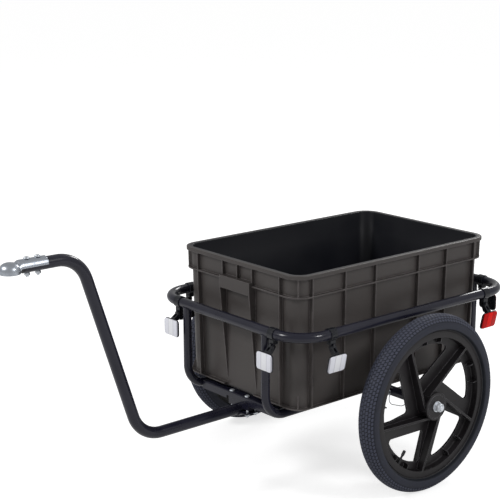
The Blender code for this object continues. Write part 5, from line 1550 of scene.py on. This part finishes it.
def tyre_section():
    """Return the tyre's closed section, each point as (radius, x, outward radius, outward x, place across).

    The place across counts the rows of the tread. It is None off the tread.
    """
    tread_angle = TREAD_REACH / TYRE_HALF_WIDTH
    tread = []
    for number in range(BLOCK_ROWS * STEPS_PER_ROW + 1):
        across = number / STEPS_PER_ROW
        angle = tread_angle * (1 - 2 * across / BLOCK_ROWS)
        tread.append((*crown_point(angle), math.cos(angle), math.sin(angle), across))
    half = []
    for step in range(1, SIDE_STEPS + 1):
        half.append(crown_point(tread_angle + (SIDE_END - tread_angle) * step / SIDE_STEPS))
    half.extend((RIM_EDGE_RADIUS + rise, tyre_heel + aside) for rise, aside in FOOT_STEPS)
    half.extend(((tyre_seat, tyre_heel), (tyre_seat, tyre_toe), (RIM_EDGE_RADIUS + HOLLOW_FOOT, tyre_toe)))
    half.extend((WHEEL_RADIUS - depth, aside) for depth, aside in (HOLLOW_SIDE, HOLLOW_CROWN))
    left = [(radius, x, 0, 0, None) for radius, x in reversed(half)]
    right = [(radius, -x, 0, 0, None) for radius, x in half]
    return left + tread + right


def tread_drop(around, across):
    """Return how far a point lies below the blocks' tops, for places counted in blocks and rows."""
    from_middle = abs(across - BLOCK_ROWS / 2)
    slanted = around + BLOCK_SLANT * from_middle + BLOCK_STAGGER * (math.floor(across) % 2)
    in_gap = slanted % 1.0 < BLOCK_GAP or across % 1.0 < ROW_GAP
    return TREAD_DEPTH if in_gap else 0.0


# %% Both tyres
SIDE_LIGHT_AND_SHADE = 0.5


def tyre_mesh(name):
    """Build the tyre as rings of its section, with the tread's grooves pressed in."""
    section = tyre_section()
    steps = BLOCKS_ROUND * STEPS_PER_BLOCK
    points = []
    light_and_shade_values = []
    for number in range(steps):
        angle = 2 * math.pi * number / steps
        for radius, x, out_radius, out_x, across in section:
            drop = 0.0
            if across is None:
                # Painted light and shade for each point: 0 (painted shade) at the bead and in grooves, a half
                # on the sidewall, 1 (painted light) on block tops.
                light_and_shade_values.append(0.0 if radius < RIM_EDGE_RADIUS + BEAD_SHADOW else SIDE_LIGHT_AND_SHADE)
            else:
                drop = tread_drop(number / STEPS_PER_BLOCK, across)
                light_and_shade_values.append(0.0 if drop else 1.0)
            points.append((x - out_x * drop, *polar(radius - out_radius * drop, angle)))
    count = len(section)
    faces = []
    for number in range(steps):
        start = number * count
        after = (number + 1) % steps * count
        for spot in range(count):
            nearby = (spot + 1) % count
            faces.append((start + spot, start + nearby, after + nearby, after + spot))
    mesh = bpy.data.meshes.new(name)
    mesh.from_pydata(points, [], faces)
    mesh.flip_normals()
    mesh.shade_smooth()
    mesh.attributes.new("light_and_shade", "FLOAT", "POINT").data.foreach_set("value", light_and_shade_values)
    return mesh


tyre = tyre_mesh("tyre")
for side_name, (side, valve_angle) in wheel_places.items():
    stand_for(f"{side_name}_tyre", tyre, *wheel_placing(side, valve_angle))
print("tyre:", len(tyre.vertices), "vertices,", BLOCKS_ROUND * BLOCK_ROWS, "tread blocks")

# %% [markdown]
# Inside each tyre lies an air tube, whose valve comes in through the rim. The valve is a rubber stem with a
# knurled cap. Only the valve can be seen, but the tube is round too, because the parts are judged one by one
# as well.

# %% Air tubes and valves
TUBE_MIDDLE_RADIUS = 0.1755
TUBE_HALF_HEIGHT = 0.0177
TUBE_HALF_WIDTH = 0.018
TUBE_STEPS = 28
TUBE_ROUND_STEPS = 96
VALVE_TIP_RADIUS = 0.115
VALVE_SIDES = 64
VALVE_FOOT = 0.004
CAP_LENGTH = 0.012
CAP_FRONT_EDGE = 0.0012
CAP_BACK_EDGE = 0.0008
CAP_FRONT_SHARE = 0.7
CAP_BACK_SHARE = 0.85
KNURLS = 16
KNURL_DEPTH = 0.05
STEM_NECK_END = 0.0004
STEM_NECK_SHARE = 0.68
STEM_THREAD_START = 0.0010
STEM_THREAD_STEP = 0.0006
STEM_THREAD_SHARES = (0.72, 0.62) * 3
RUBBER_START = 0.0056
RUBBER_START_SHARE = 0.80
RUBBER_TAPER_END = 0.006


def tube_section():
    """Return the air tube's closed section, a soft oval that fills the tyre's hollow."""
    ovals = [polar(1.0, 2 * math.pi * number / TUBE_STEPS) for number in range(TUBE_STEPS)]
    return [(TUBE_MIDDLE_RADIUS + TUBE_HALF_HEIGHT * v, TUBE_HALF_WIDTH * u) for u, v in ovals]


def knurled(radius):
    """Return the radius function of a cap with fine ridges down its side."""
    return lambda angle: radius * (1.0 - KNURL_DEPTH * (1 + math.cos(KNURLS * angle)))


def valve_mesh(outward):
    """Turn the valve about its own line: a stem with a foot in the rim, and the knurled cap."""
    direction, _, _ = spoke_axes(VALVE_ANGLE)
    cap_back = VALVE_TIP_RADIUS + CAP_LENGTH
    thread = [
        (VALVE_RADIUS * share, cap_back + STEM_THREAD_START + step * STEM_THREAD_STEP)
        for step, share in enumerate(STEM_THREAD_SHARES)
    ]
    profile = [
        (0, VALVE_TIP_RADIUS),
        (VALVE_RADIUS * CAP_FRONT_SHARE, VALVE_TIP_RADIUS),
        (knurled(VALVE_RADIUS), VALVE_TIP_RADIUS + CAP_FRONT_EDGE),
        (knurled(VALVE_RADIUS), cap_back - CAP_BACK_EDGE),
        (VALVE_RADIUS * CAP_BACK_SHARE, cap_back),
        (VALVE_RADIUS * STEM_NECK_SHARE, cap_back + STEM_NECK_END),
        *thread,
        (VALVE_RADIUS * RUBBER_START_SHARE, cap_back + RUBBER_START),
        (VALVE_RADIUS, RIM_INNER_RADIUS - RUBBER_TAPER_END),
        (VALVE_RADIUS, tyre_seat + VALVE_FOOT),
        (0, tyre_seat + VALVE_FOOT),
    ]
    mesh = turned_mesh("valve", profile, VALVE_SIDES, axis=direction)
    mesh.transform(Matrix.Translation(X_AXIS * VALVE_INSET * outward))
    return mesh


air_tube = turned_mesh("air_tube", tube_section(), TUBE_ROUND_STEPS, closed=True, axis=X_AXIS, start=TURN)
for side_name, (side, valve_angle) in wheel_places.items():
    filled_tube = merged_mesh(f"{side_name}_air_tube", (air_tube, valve_mesh(side)))
    stand_for(f"{side_name}_inner_tube", filled_tube, *wheel_placing(side, valve_angle))

# %% [markdown]
# ## Axles, nuts and bearings
# These are plain turned parts. The washer and the nylon-collared nut are what shows in the middle of the
# wheel, so the nut gets chamfered corners and the axle's end gets its thread.

# %% Bearings
AXLE_RADIUS = 0.0075
BEARING_WIDTH = 0.009
BEARING_RACE = 0.0025
SEAL_DEPTH = 0.0006
SPACER_RADIUS = 0.0102
BEARING_SIDES = 64
hub_inner = TRACK / 2 - HUB_HALF_LENGTH
hub_outer = TRACK / 2 + HUB_HALF_LENGTH


def bearing_mesh(name, outward):
    """Turn the two bearings with their seals, and the spacer sleeve between them, as one cartridge."""
    outer_end = (HUB_HALF_LENGTH - HUB_END_WALL - GAP) * outward
    inner_end = (GAP - HUB_HALF_LENGTH) * outward
    width = BEARING_WIDTH * outward
    seal = inner_end + SEAL_DEPTH * outward
    bore = AXLE_RADIUS + PRESS_GAP
    profile = [
        (bore, outer_end),
        (BEARING_RADIUS, outer_end),
        (BEARING_RADIUS, outer_end - width),
        (SPACER_RADIUS, outer_end - width),
        (SPACER_RADIUS, inner_end + width),
        (BEARING_RADIUS, inner_end + width),
        (BEARING_RADIUS, inner_end),
        (BEARING_RADIUS - BEARING_RACE, inner_end),
        (BEARING_RADIUS - BEARING_RACE, seal),
        (bore + BEARING_RACE, seal),
        (bore + BEARING_RACE, inner_end),
        (bore, inner_end),
    ]
    return turned_mesh(name, profile, BEARING_SIDES, closed=True, axis=X_AXIS, start=TURN)


# %% Axles and nuts
AXLE_INNER_END = 0.150
AXLE_COLLAR_RADIUS = 0.0105
AXLE_EDGE = 0.001
STUD_RADIUS = 0.0058
STUD_LENGTH = 0.0155
WASHER_RADIUS = 0.012
WASHER_THICKNESS = 0.002
WASHER_EDGE = 0.0003
NUT_WIDTH = 0.019
NUT_HEIGHT = 0.010
NUT_COLLAR_RADIUS = 0.0082
NUT_COLLAR_HEIGHT = 0.002
NUT_COLLAR_EDGE = 0.0005
NUT_SEAT_EDGE = 0.0008
NUT_SEAT_SHARE = 0.97
NUT_TOP_EDGE = 0.0012
NUT_TOP_SHARE = 0.96


def axle_mesh(name, side):
    """Turn a stub axle with its collar and threaded stud, drilled for the lock pin."""
    collar = CROSS_TUBE_HALF_LENGTH + GAP
    stud_end = hub_outer + STUD_LENGTH
    ridges = thread_profile(STUD_RADIUS, stud_end, hub_outer)
    profile = [
        (0, AXLE_INNER_END),
        (AXLE_RADIUS - AXLE_EDGE, AXLE_INNER_END),
        (AXLE_RADIUS, AXLE_INNER_END + AXLE_EDGE),
        (AXLE_RADIUS, collar),
        (AXLE_COLLAR_RADIUS, collar),
        (AXLE_COLLAR_RADIUS, hub_inner),
        (AXLE_RADIUS, hub_inner),
        (AXLE_RADIUS, hub_outer),
        (STUD_RADIUS, hub_outer),
        *[(radius, stud_end + hub_outer - height) for radius, height in ridges],
        (STUD_RADIUS - AXLE_EDGE, stud_end),
        (0, stud_end),
    ]
    plain = turned_mesh("plain_axle", profile, axis=X_AXIS * side)
    return shape_with(name, plain, removed=(pin_hole("axle_hole", side * PIN_X, 0),))


def axle_nut_mesh(name, side):
    """Turn the washer and the nut with its nylon collar, as one piece on the axle's stud."""
    foot = hub_outer + GAP
    seat = foot + WASHER_THICKNESS
    top = seat + NUT_HEIGHT
    crown = top + NUT_COLLAR_HEIGHT
    bore = STUD_RADIUS + GAP
    profile = [
        (bore, foot),
        (WASHER_RADIUS - WASHER_EDGE, foot),
        (WASHER_RADIUS, foot + WASHER_EDGE),
        (WASHER_RADIUS, seat - WASHER_EDGE),
        (WASHER_RADIUS - WASHER_EDGE, seat),
        (NUT_WIDTH / 2 * NUT_SEAT_SHARE, seat),
        (hex_section(NUT_WIDTH), seat + NUT_SEAT_EDGE),
        (hex_section(NUT_WIDTH), top - NUT_TOP_EDGE),
        (NUT_WIDTH / 2 * NUT_TOP_SHARE, top),
        (NUT_COLLAR_RADIUS, top),
        (NUT_COLLAR_RADIUS - NUT_COLLAR_EDGE, crown),
        (bore, crown),
    ]
    return turned_mesh(name, profile, closed=True, axis=X_AXIS * side)


for side_name, (side, _) in wheel_places.items():
    for part, mesh_way, x in (
        ("bearings", bearing_mesh, side * TRACK / 2),
        ("axle", axle_mesh, 0),
        ("axle_nut", axle_nut_mesh, 0),
    ):
        node = f"{side_name}_{part}"
        stand_for(node, mesh_way(node, side), at(x, 0, WHEEL_RADIUS))
print("hub from", round(hub_inner * 1000, 1), "to", round(hub_outer * 1000, 1), "mm out")

# %% [markdown]
# ## Lock pins
# A spring-wire bow swings on each pin's head and hooks over its tip, so that the pin can't shake out. Wire
# this thin lives by its highlights, so its section is swept finely round every bend.

# %% Lock pins and bows
PIN_HEAD_RADIUS = 0.0065
PIN_HEAD_LENGTH = 0.009
PIN_HEAD_EDGE = 0.0008
PIN_TIP_Y = 0.046
PIN_TIP_SHARE = 0.85
BOW_WIRE_RADIUS = 0.001
BOW_WIRE_SIDES = 16
BOW_BULGE = 0.024
BOW_CORNER = 0.018
BOW_EYE_BEND = 1.5 * BOW_WIRE_RADIUS
BOW_BEND_STEP = math.radians(9)
BOW_REST = math.radians(160)
head_back = -CROSS_TUBE_RADIUS - GAP
head_front = head_back - PIN_HEAD_LENGTH
bow_hinge_y = head_back - PIN_HEAD_LENGTH / 2


def lock_pin_mesh():
    """Turn the pin with its round-edged head, and drill the eye for the bow."""
    profile = [
        (0, head_front),
        (PIN_HEAD_RADIUS - PIN_HEAD_EDGE, head_front),
        (PIN_HEAD_RADIUS, head_front + PIN_HEAD_EDGE),
        (PIN_HEAD_RADIUS, head_back - PIN_HEAD_EDGE / 2),
        (PIN_HEAD_RADIUS - PIN_HEAD_EDGE / 2, head_back),
        (PIN_RADIUS, head_back),
        (PIN_RADIUS, PIN_TIP_Y - PIN_RADIUS / 2),
        (PIN_RADIUS * PIN_TIP_SHARE, PIN_TIP_Y - PIN_RADIUS / 4),
        (PIN_RADIUS / 2, PIN_TIP_Y),
        (0, PIN_TIP_Y),
    ]
    reach = 2 * PIN_HEAD_RADIUS
    ends = ((-reach, bow_hinge_y, 0), (reach, bow_hinge_y, 0))
    eye = rod_mesh("pin_eye", *ends, BOW_WIRE_RADIUS + SLIDING_GAP)
    return shape_with("lock_pin", turned_mesh("plain_pin", profile, axis=Y_AXIS), removed=(eye,))


def bow_mesh(name, side):
    """Bend the wire bow: an eye end across the pin's head, a hoop and a hook past the pin's tip."""
    reach = PIN_TIP_Y - bow_hinge_y + 2 * BOW_WIRE_RADIUS
    eye_end = -side * (PIN_HEAD_RADIUS + 2 * BOW_WIRE_RADIUS)
    plane = side * (PIN_HEAD_RADIUS + BOW_WIRE_RADIUS + SLIDING_GAP)
    corners = (
        (eye_end, 0, 0),
        (plane, 0, 0),
        (plane, 0, BOW_BULGE),
        (plane, -reach, BOW_BULGE),
        (plane, -reach, 0),
        (-side * PIN_RADIUS, -reach, 0),
    )
    stations = bent_path(corners, (BOW_EYE_BEND, BOW_CORNER, BOW_CORNER, BOW_EYE_BEND), BOW_BEND_STEP)
    return tube_mesh(name, stations, BOW_WIRE_RADIUS, Z_AXIS, sides=BOW_WIRE_SIDES)


lock_pin = lock_pin_mesh()
bow_turn = Matrix.Rotation(BOW_REST, 4, "X")
for side_name, (side, _) in wheel_places.items():
    stand_for(f"{side_name}_lock_pin", lock_pin, at(side * PIN_X, 0, WHEEL_RADIUS))
    bow_hinge = at(side * PIN_X, bow_hinge_y, WHEEL_RADIUS)
    stand_for(f"{side_name}_lock_pin_bow", bow_mesh(f"{side_name}_bow", side), bow_hinge, bow_turn)

# %% [markdown]
# ## The crate
# The crate is drawn as rings: one outline in plan, repeated at each height, standing further in or out by the
# kind of each point on it (wall, fin, corner fin, grip, gusset). The same two lists describe the CAD solid.
# Here each corner gets twelve steps instead of four, and the lip and foot are rounded off.

# %% Crate outline in plan
CRATE_LENGTH = 0.600
CRATE_WIDTH = 0.400
CRATE_HEIGHT = 0.300
CRATE_BASE_Z = WHEEL_RADIUS + CROSS_TUBE_RADIUS + GAP
CRATE_CORNER = 0.042
CRATE_FIN = 0.0026
CRATE_SIDE_FINS = (-0.4225, -0.265, -0.1125, 0.1125, 0.265, 0.4225)
CRATE_END_FIN = 0.345
CRATE_GRIP_HALF_WIDTH = 0.051
CORNER_STEPS = 12


def fin_columns(middle, along, outward, kind, before="wall", after="wall"):
    """List a fin's four points in plan, from the kind before it to the kind after it."""
    parts = ((-1, before), (-1, kind), (1, kind), (1, after))
    return [(middle + along * side * CRATE_FIN / 2, outward, part) for side, part in parts]


def crate_columns():
    """List the crate's outline anticlockwise from above as (place, outward, kind)."""
    half_x = CRATE_WIDTH / 2
    half_y = CRATE_LENGTH / 2
    columns = []
    for number in range(4):
        turn = Matrix.Rotation(number * TURN, 3, "Z")
        outward = turn @ X_AXIS
        along = turn @ Y_AXIS
        is_long_side = number % 2 == 0
        middle = outward * (half_x if is_long_side else half_y)
        straight = (half_y if is_long_side else half_x) - CRATE_CORNER
        if is_long_side:
            for place in CRATE_SIDE_FINS:
                columns += fin_columns(middle + along * place * CRATE_LENGTH, along, outward, "fin")
        else:
            gusset = along * (CRATE_GRIP_HALF_WIDTH - CRATE_FIN / 2)
            end_fin = along * CRATE_END_FIN * CRATE_WIDTH
            columns += fin_columns(middle - end_fin, along, outward, "fin")
            columns += fin_columns(middle - gusset, along, outward, "gusset", after="grip")
            columns += fin_columns(middle, along, outward, "cell", before="grip", after="grip")
            columns += fin_columns(middle + gusset, along, outward, "gusset", before="grip")
            columns += fin_columns(middle + end_fin, along, outward, "fin")
        corner_centre = middle - outward * CRATE_CORNER + along * straight
        for step in range(CORNER_STEPS + 1):
            angle = TURN * step / CORNER_STEPS
            direction = outward * math.cos(angle) + along * math.sin(angle)
            place = corner_centre + direction * CRATE_CORNER
            if step == CORNER_STEPS // 2:
                columns += fin_columns(place, Z_AXIS.cross(direction), direction, "corner")
            else:
                columns.append((place, direction, "wall"))
    return columns


# %% Crate heights
CRATE_LIP = 0.0025
CRATE_LIP_HEIGHT = 0.008
CRATE_LIP_ROUNDING = 0.0015
CRATE_SKIRT = 0.050
CRATE_SKIRT_INSET = 0.0085
CRATE_WALL_INSET = 0.010
CRATE_WALL_DRAFT = 0.001
CRATE_FOOT_GUSSET = 0.035
CRATE_WALL = 0.003
CRATE_FLOOR = 0.004
CRATE_LEDGE = 0.003
CRATE_FOOT_CHAMFER = 0.005
CRATE_FOOT_HEIGHT = 0.007
CRATE_FIN_STEP = 0.0006
CRATE_GRIP_OUT = 0.005
CRATE_GRIP_DROP = 0.018
CRATE_GRIP_RISE = 0.010
CRATE_KINDS = ("wall", "corner", "fin", "grip", "cell", "gusset")
ledge_z = CRATE_HEIGHT - CRATE_SKIRT
grip_z = ledge_z - CRATE_GRIP_DROP


def alike(inset, kinds=CRATE_KINDS):
    """Return the same inset for several kinds."""
    return dict.fromkeys(kinds, inset)


def wall_insets(height):
    """Return how far in from the lip's outline each kind stands, at a height between foot and ledge."""
    wall = CRATE_LIP + CRATE_WALL_INSET + CRATE_WALL_DRAFT * (ledge_z - height) / ledge_z
    rise = max(0.0, (height - CRATE_FOOT_HEIGHT) / (grip_z - CRATE_FOOT_HEIGHT))
    gusset = wall - (wall + CRATE_GRIP_OUT) * rise
    return {**alike(wall), "fin": CRATE_LIP + CRATE_FIN_STEP, "gusset": gusset}


def crate_levels():
    """List the crate's rings as (height, insets), from the foot up outside and down again inside."""
    ledge_top = ledge_z + CRATE_LEDGE
    grip_top = ledge_z + CRATE_GRIP_RISE
    lip_z = CRATE_HEIGHT - CRATE_LIP_HEIGHT
    mouth = CRATE_LIP + CRATE_SKIRT_INSET + CRATE_WALL
    block = alike(-CRATE_GRIP_OUT, ("grip", "cell", "gusset"))
    foot = {**wall_insets(0.0), **alike(CRATE_LIP, ("wall", "corner", "fin"))}
    skirt = {**alike(CRATE_LIP + CRATE_FIN_STEP), **alike(CRATE_LIP + CRATE_SKIRT_INSET, ("wall", "grip"))}
    levels = [
        (0.0, alike(wall_insets(0.0)["wall"])),
        (CRATE_FOOT_CHAMFER, foot),
        (CRATE_FOOT_HEIGHT, foot),
        (CRATE_FOOT_HEIGHT, {**wall_insets(CRATE_FOOT_HEIGHT), "corner": CRATE_LIP}),
        (CRATE_FOOT_GUSSET, wall_insets(CRATE_FOOT_GUSSET)),
        (grip_z, wall_insets(grip_z)),
        (grip_z, {**wall_insets(grip_z), **block}),
        (ledge_z, {**wall_insets(ledge_z), **block}),
        (ledge_z, {**alike(CRATE_LIP), **block}),
        (ledge_top, {**alike(CRATE_LIP), **block}),
        (ledge_top, {**skirt, **block}),
        (grip_top, {**skirt, **block}),
        (grip_top, skirt),
        (lip_z, skirt),
        (lip_z, alike(0.0)),
    ]
    for edge, inward, turns in ((0.0, 1, (0, 30, 60, 90)), (mouth, -1, (90, 60, 30, 0))):
        for angle in map(math.radians, turns):
            rounding = CRATE_LIP_ROUNDING * (1 - math.cos(angle))
            height = CRATE_HEIGHT - CRATE_LIP_ROUNDING * (1 - math.sin(angle))
            levels.append((height, alike(edge + inward * rounding)))
    levels.append((ledge_top, alike(mouth)))
    for height in (ledge_z, CRATE_FLOOR):
        levels.append((height, alike(wall_insets(height)["wall"] + CRATE_WALL)))
    return levels


# %% Crate
CRATE_FOOT_DRAFT_Y = 0.005
CRATE_FOOT_DRAFT_X = 0.004
columns = crate_columns()
crate_work = bmesh.new()
# Inside faces are marked with 1 for the painted shade of the inside.
inside_shade_mark = crate_work.verts.layers.float.new("inside")
crate_rings = []
for height, insets in crate_levels():
    share = 1 - height / CRATE_HEIGHT
    scale_x = 1 - share * CRATE_FOOT_DRAFT_X / (CRATE_WIDTH / 2)
    scale_y = 1 - share * CRATE_FOOT_DRAFT_Y / (CRATE_LENGTH / 2)
    drawn = [place - outward * insets[kind] for place, outward, kind in columns]
    ring = add_ring(crate_work, [(spot.x * scale_x, spot.y * scale_y, height) for spot in drawn])
    for vert in ring:
        vert[inside_shade_mark] = 1.0 if insets["fin"] > CRATE_SKIRT_INSET + CRATE_WALL else 0.0
    crate_rings.append(ring)
for ring, after in zip(crate_rings, crate_rings[1:]):
    join_rings(crate_work, ring, after)
crate_work.faces.new(crate_rings[0])
crate_work.faces.new(crate_rings[-1])
stand_for("crate", finish_mesh("crate", crate_work), at(0, FRAME_SET_BACK, CRATE_BASE_Z))
print("crate:", len(columns), "columns,", len(crate_rings), "rings")

# %% [markdown]
# ## The reflectors
# Eight reflectors hang from clamps on the rim tube. A clamp's band goes round the tube and ends in a lug with
# a tongue, and the reflector's back shell has a fork that tilts on it. All three parts are mouldings with
# broken edges.

# %% Clamp
CLAMP_END_INSET = 0.0785
CLAMP_SIDE_INSET = 0.0885
BAND_THICKNESS = 0.002
BAND_HALF_WIDTH = 0.0085
BAND_EDGE = 0.0005
BAND_SIDES = 64
LUG_HALF_WIDTH = 0.007
LUG_DEPTH = 0.010
LUG_FILLET = 0.0015
KNUCKLE_OUT = 0.005
KNUCKLE_DOWN = 0.027
KNUCKLE_RADIUS = 0.0055
KNUCKLE_HALF_WIDTH = 0.006
KNUCKLE_STEPS = 20
TONGUE_HALF_WIDTH = 0.0026
KNUCKLE_PIN_RADIUS = 0.0025
SCREW_HEAD_RADIUS = 0.0022
SCREW_STANDING = 0.0012
SCREW_OUT = 0.001


def cross_rod(name, half_length, y, z, radius, sides=ROD_SIDES):
    """Make a rod along X that is centred on a place, as a pin or a cutter."""
    return rod_mesh(name, (-half_length, y, z), (half_length, y, z), radius, sides)


def bracket_mesh():
    """Make a clamp about X: a band round the rim tube, a lug with its screw, and the knuckle's tongue."""
    inner = RIM_TUBE_RADIUS + GAP
    outer = inner + BAND_THICKNESS
    profile = (
        (inner, -BAND_HALF_WIDTH),
        (outer - BAND_EDGE, -BAND_HALF_WIDTH),
        (outer, BAND_EDGE - BAND_HALF_WIDTH),
        (outer, BAND_HALF_WIDTH - BAND_EDGE),
        (outer - BAND_EDGE, BAND_HALF_WIDTH),
        (inner, BAND_HALF_WIDTH),
    )
    band = turned_mesh("band", profile, BAND_SIDES, closed=True, axis=X_AXIS)
    lug_foot = -outer - LUG_DEPTH + BAND_THICKNESS
    lug_head = -inner - BAND_THICKNESS / 4
    lug_back = -KNUCKLE_RADIUS - BAND_THICKNESS
    lug_outline = rounded_outline(
        (
            (lug_back, lug_foot, LUG_FILLET),
            (KNUCKLE_RADIUS, lug_foot, LUG_FILLET),
            (KNUCKLE_RADIUS, lug_head, 0),
            (lug_back, lug_head, 0),
        )
    )
    lug = prism_mesh("lug", lug_outline, -LUG_HALF_WIDTH, LUG_HALF_WIDTH, wheel_plane)
    knuckle = (-KNUCKLE_OUT, -KNUCKLE_DOWN)
    barrel = arc_points(knuckle, KNUCKLE_RADIUS, math.pi, 2 * math.pi, KNUCKLE_STEPS)
    tongue_head = lug_foot + BAND_THICKNESS
    outline = [*barrel, (barrel[-1][0], tongue_head), (barrel[0][0], tongue_head)]
    tongue = prism_mesh("tongue", outline, -TONGUE_HALF_WIDTH, TONGUE_HALF_WIDTH, wheel_plane)
    screw_reach = LUG_HALF_WIDTH + SCREW_STANDING
    screw = cross_rod("screw", screw_reach, -SCREW_OUT, (lug_foot - inner) / 2, SCREW_HEAD_RADIUS)
    hollow = cross_rod("band_hollow", 2 * BAND_HALF_WIDTH, 0, 0, inner, BAND_SIDES)
    pin_cutter = cross_rod("knuckle_hole", BAND_HALF_WIDTH, *knuckle, KNUCKLE_PIN_RADIUS + SLIDING_GAP)
    return shape_with("reflector_bracket", band, (lug, tongue, screw), (hollow, pin_cutter))


# %% Tilting shell
REFLECTOR_WIDTH = 0.050
REFLECTOR_HEIGHT = 0.040
REFLECTOR_CORNER = 0.008
REFLECTOR_DROP = 0.0285
HOUSING_BACK = 0.0164
HOUSING_THICKNESS = 0.0035
HOUSING_EDGE = 0.0003
FORK_BACK_ANGLE = math.radians(-20)
STEM_SHARES = (1.7, 3.0)
STEM_ROOT_SHARES = (0.6, 2.4)
PLATE_EDGE = 0.0008
PLATE_BACK_STEPS = ((2.5, 0), (1, 0.6), (0, 1.8))
RIVET_STANDING = 0.0008
RIVET_EDGE = 0.0006
RIVET_RADII = (0.0020, 0.0031, 0.0033)
RIVET_FOOT = 0.005
outwards_plate = (X_AXIS, Z_AXIS, -Y_AXIS)


def plate_outline(margin):
    """Return the reflector's rounded outline, in by a margin, where it hangs below the knuckle."""
    sizes = (REFLECTOR_WIDTH - 2 * margin, REFLECTOR_HEIGHT - 2 * margin, REFLECTOR_CORNER - margin)
    return [(x, z - REFLECTOR_DROP) for x, z in rounded_rectangle(*sizes)]


def rivet_head(side):
    """Turn the low head of the knuckle's rivet on one side."""
    top = KNUCKLE_HALF_WIDTH + RIVET_STANDING
    heights = (top, top - RIVET_EDGE, KNUCKLE_HALF_WIDTH - GAP)
    profile = [(0, top), *zip(RIVET_RADII, heights), (0, RIVET_FOOT)]
    return turned_mesh("rivet_head", profile, ROD_SIDES, axis=X_AXIS * side)


def housing_mesh():
    """Make the tilting back shell: fork, riveted pin, stem and the plate behind the lens."""
    stem_top = -HOUSING_BACK - HOUSING_THICKNESS / 2
    outline = [
        *arc_points((0, 0), KNUCKLE_RADIUS, FORK_BACK_ANGLE, math.pi, KNUCKLE_STEPS),
        *[(stem_top, -KNUCKLE_RADIUS * share) for share in STEM_SHARES],
        tuple(-KNUCKLE_RADIUS * share for share in STEM_ROOT_SHARES),
    ]
    fork = prism_mesh("fork", outline, -KNUCKLE_HALF_WIDTH, KNUCKLE_HALF_WIDTH, wheel_plane)
    slot_half = TONGUE_HALF_WIDTH + GAP
    slot_low = (-slot_half, -2 * HOUSING_BACK, -KNUCKLE_RADIUS - 2 * GAP)
    slot = box_mesh("slot", slot_low, (slot_half, 2 * HOUSING_BACK, 2 * KNUCKLE_RADIUS))
    forked = shape_with("forked", fork, removed=(slot,))
    pin = cross_rod("knuckle_pin", KNUCKLE_HALF_WIDTH - GAP, 0, 0, KNUCKLE_PIN_RADIUS)
    front = HOUSING_BACK + HOUSING_THICKNESS
    layers = []
    for inward, out in PLATE_BACK_STEPS:
        layers.append((plate_outline(inward * PLATE_EDGE), HOUSING_BACK + out * PLATE_EDGE))
    layers.append((plate_outline(0), front - HOUSING_EDGE))
    layers.append((plate_outline(HOUSING_EDGE), front))
    plate = layered_mesh("plate", layers, outwards_plate)
    return shape_with("reflector_housing", forked, added=(pin, rivet_head(-1), rivet_head(1), plate))


# %% Lens
LENS_THICKNESS = 0.0025
LENS_MARGIN = 0.0012
LENS_ROUNDING = 0.3 * PLATE_EDGE


def lens_mesh(name):
    """Make the lens, a clear plate with its front edge broken."""
    back = HOUSING_BACK + HOUSING_THICKNESS + GAP
    front = back + LENS_THICKNESS
    layers = (
        (plate_outline(LENS_MARGIN), back),
        (plate_outline(LENS_MARGIN), front - PLATE_EDGE),
        (plate_outline(LENS_MARGIN + LENS_ROUNDING), front - LENS_ROUNDING),
        (plate_outline(LENS_MARGIN + PLATE_EDGE), front),
    )
    return layered_mesh(name, layers, outwards_plate)


# %% Eight reflectors
SIDE_TILT = math.radians(12)
bracket = bracket_mesh()
housing = housing_mesh()
lenses = {colour: lens_mesh(colour + "_reflector") for colour in ("white", "red")}
clamp_x = RIM_WIDTH / 2 - CLAMP_END_INSET
clamp_y = RIM_LENGTH / 2 - CLAMP_SIDE_INSET
reflector_places = {
    "front_left": (clamp_x, RIM_FRONT_Y, 0, "white"),
    "front_right": (-clamp_x, RIM_FRONT_Y, 0, "white"),
    "left_front": (half_width, FRAME_SET_BACK - clamp_y, 1, "white"),
    "left_rear": (half_width, FRAME_SET_BACK + clamp_y, 1, "red"),
    "rear_left": (clamp_x, RIM_REAR_Y, 2, "red"),
    "rear_right": (-clamp_x, RIM_REAR_Y, 2, "red"),
    "right_front": (-half_width, FRAME_SET_BACK - clamp_y, 3, "white"),
    "right_rear": (-half_width, FRAME_SET_BACK + clamp_y, 3, "red"),
}
for name, (x, y, quarter_turns, colour) in reflector_places.items():
    clamp = at(x, y, RIM_Z) @ Matrix.Rotation(quarter_turns * TURN, 4, "Z")
    stand_for(f"{name}_bracket", bracket, clamp)
    tilt = Matrix.Rotation(SIDE_TILT if quarter_turns % 2 else 0.0, 4, "X")
    knuckle = clamp @ Matrix.Translation((0, -KNUCKLE_OUT, -KNUCKLE_DOWN)) @ tilt
    stand_for(f"{name}_housing", housing, knuckle)
    stand_for(f"{name}_lens", lenses[colour], knuckle)
print(len(reflector_places), "reflectors")

# %% [markdown]
# The CAD meshes stay in the scene, hidden, for the pose and size checks. Each gets its finish too, so that
# either form of a piece can be shown.

# %% Give the CAD nodes their finishes
for node, cad_object in frame["nodes"].items():
    for place in cad_object.material_slots:
        place.material = finishes[slot_names[node]]
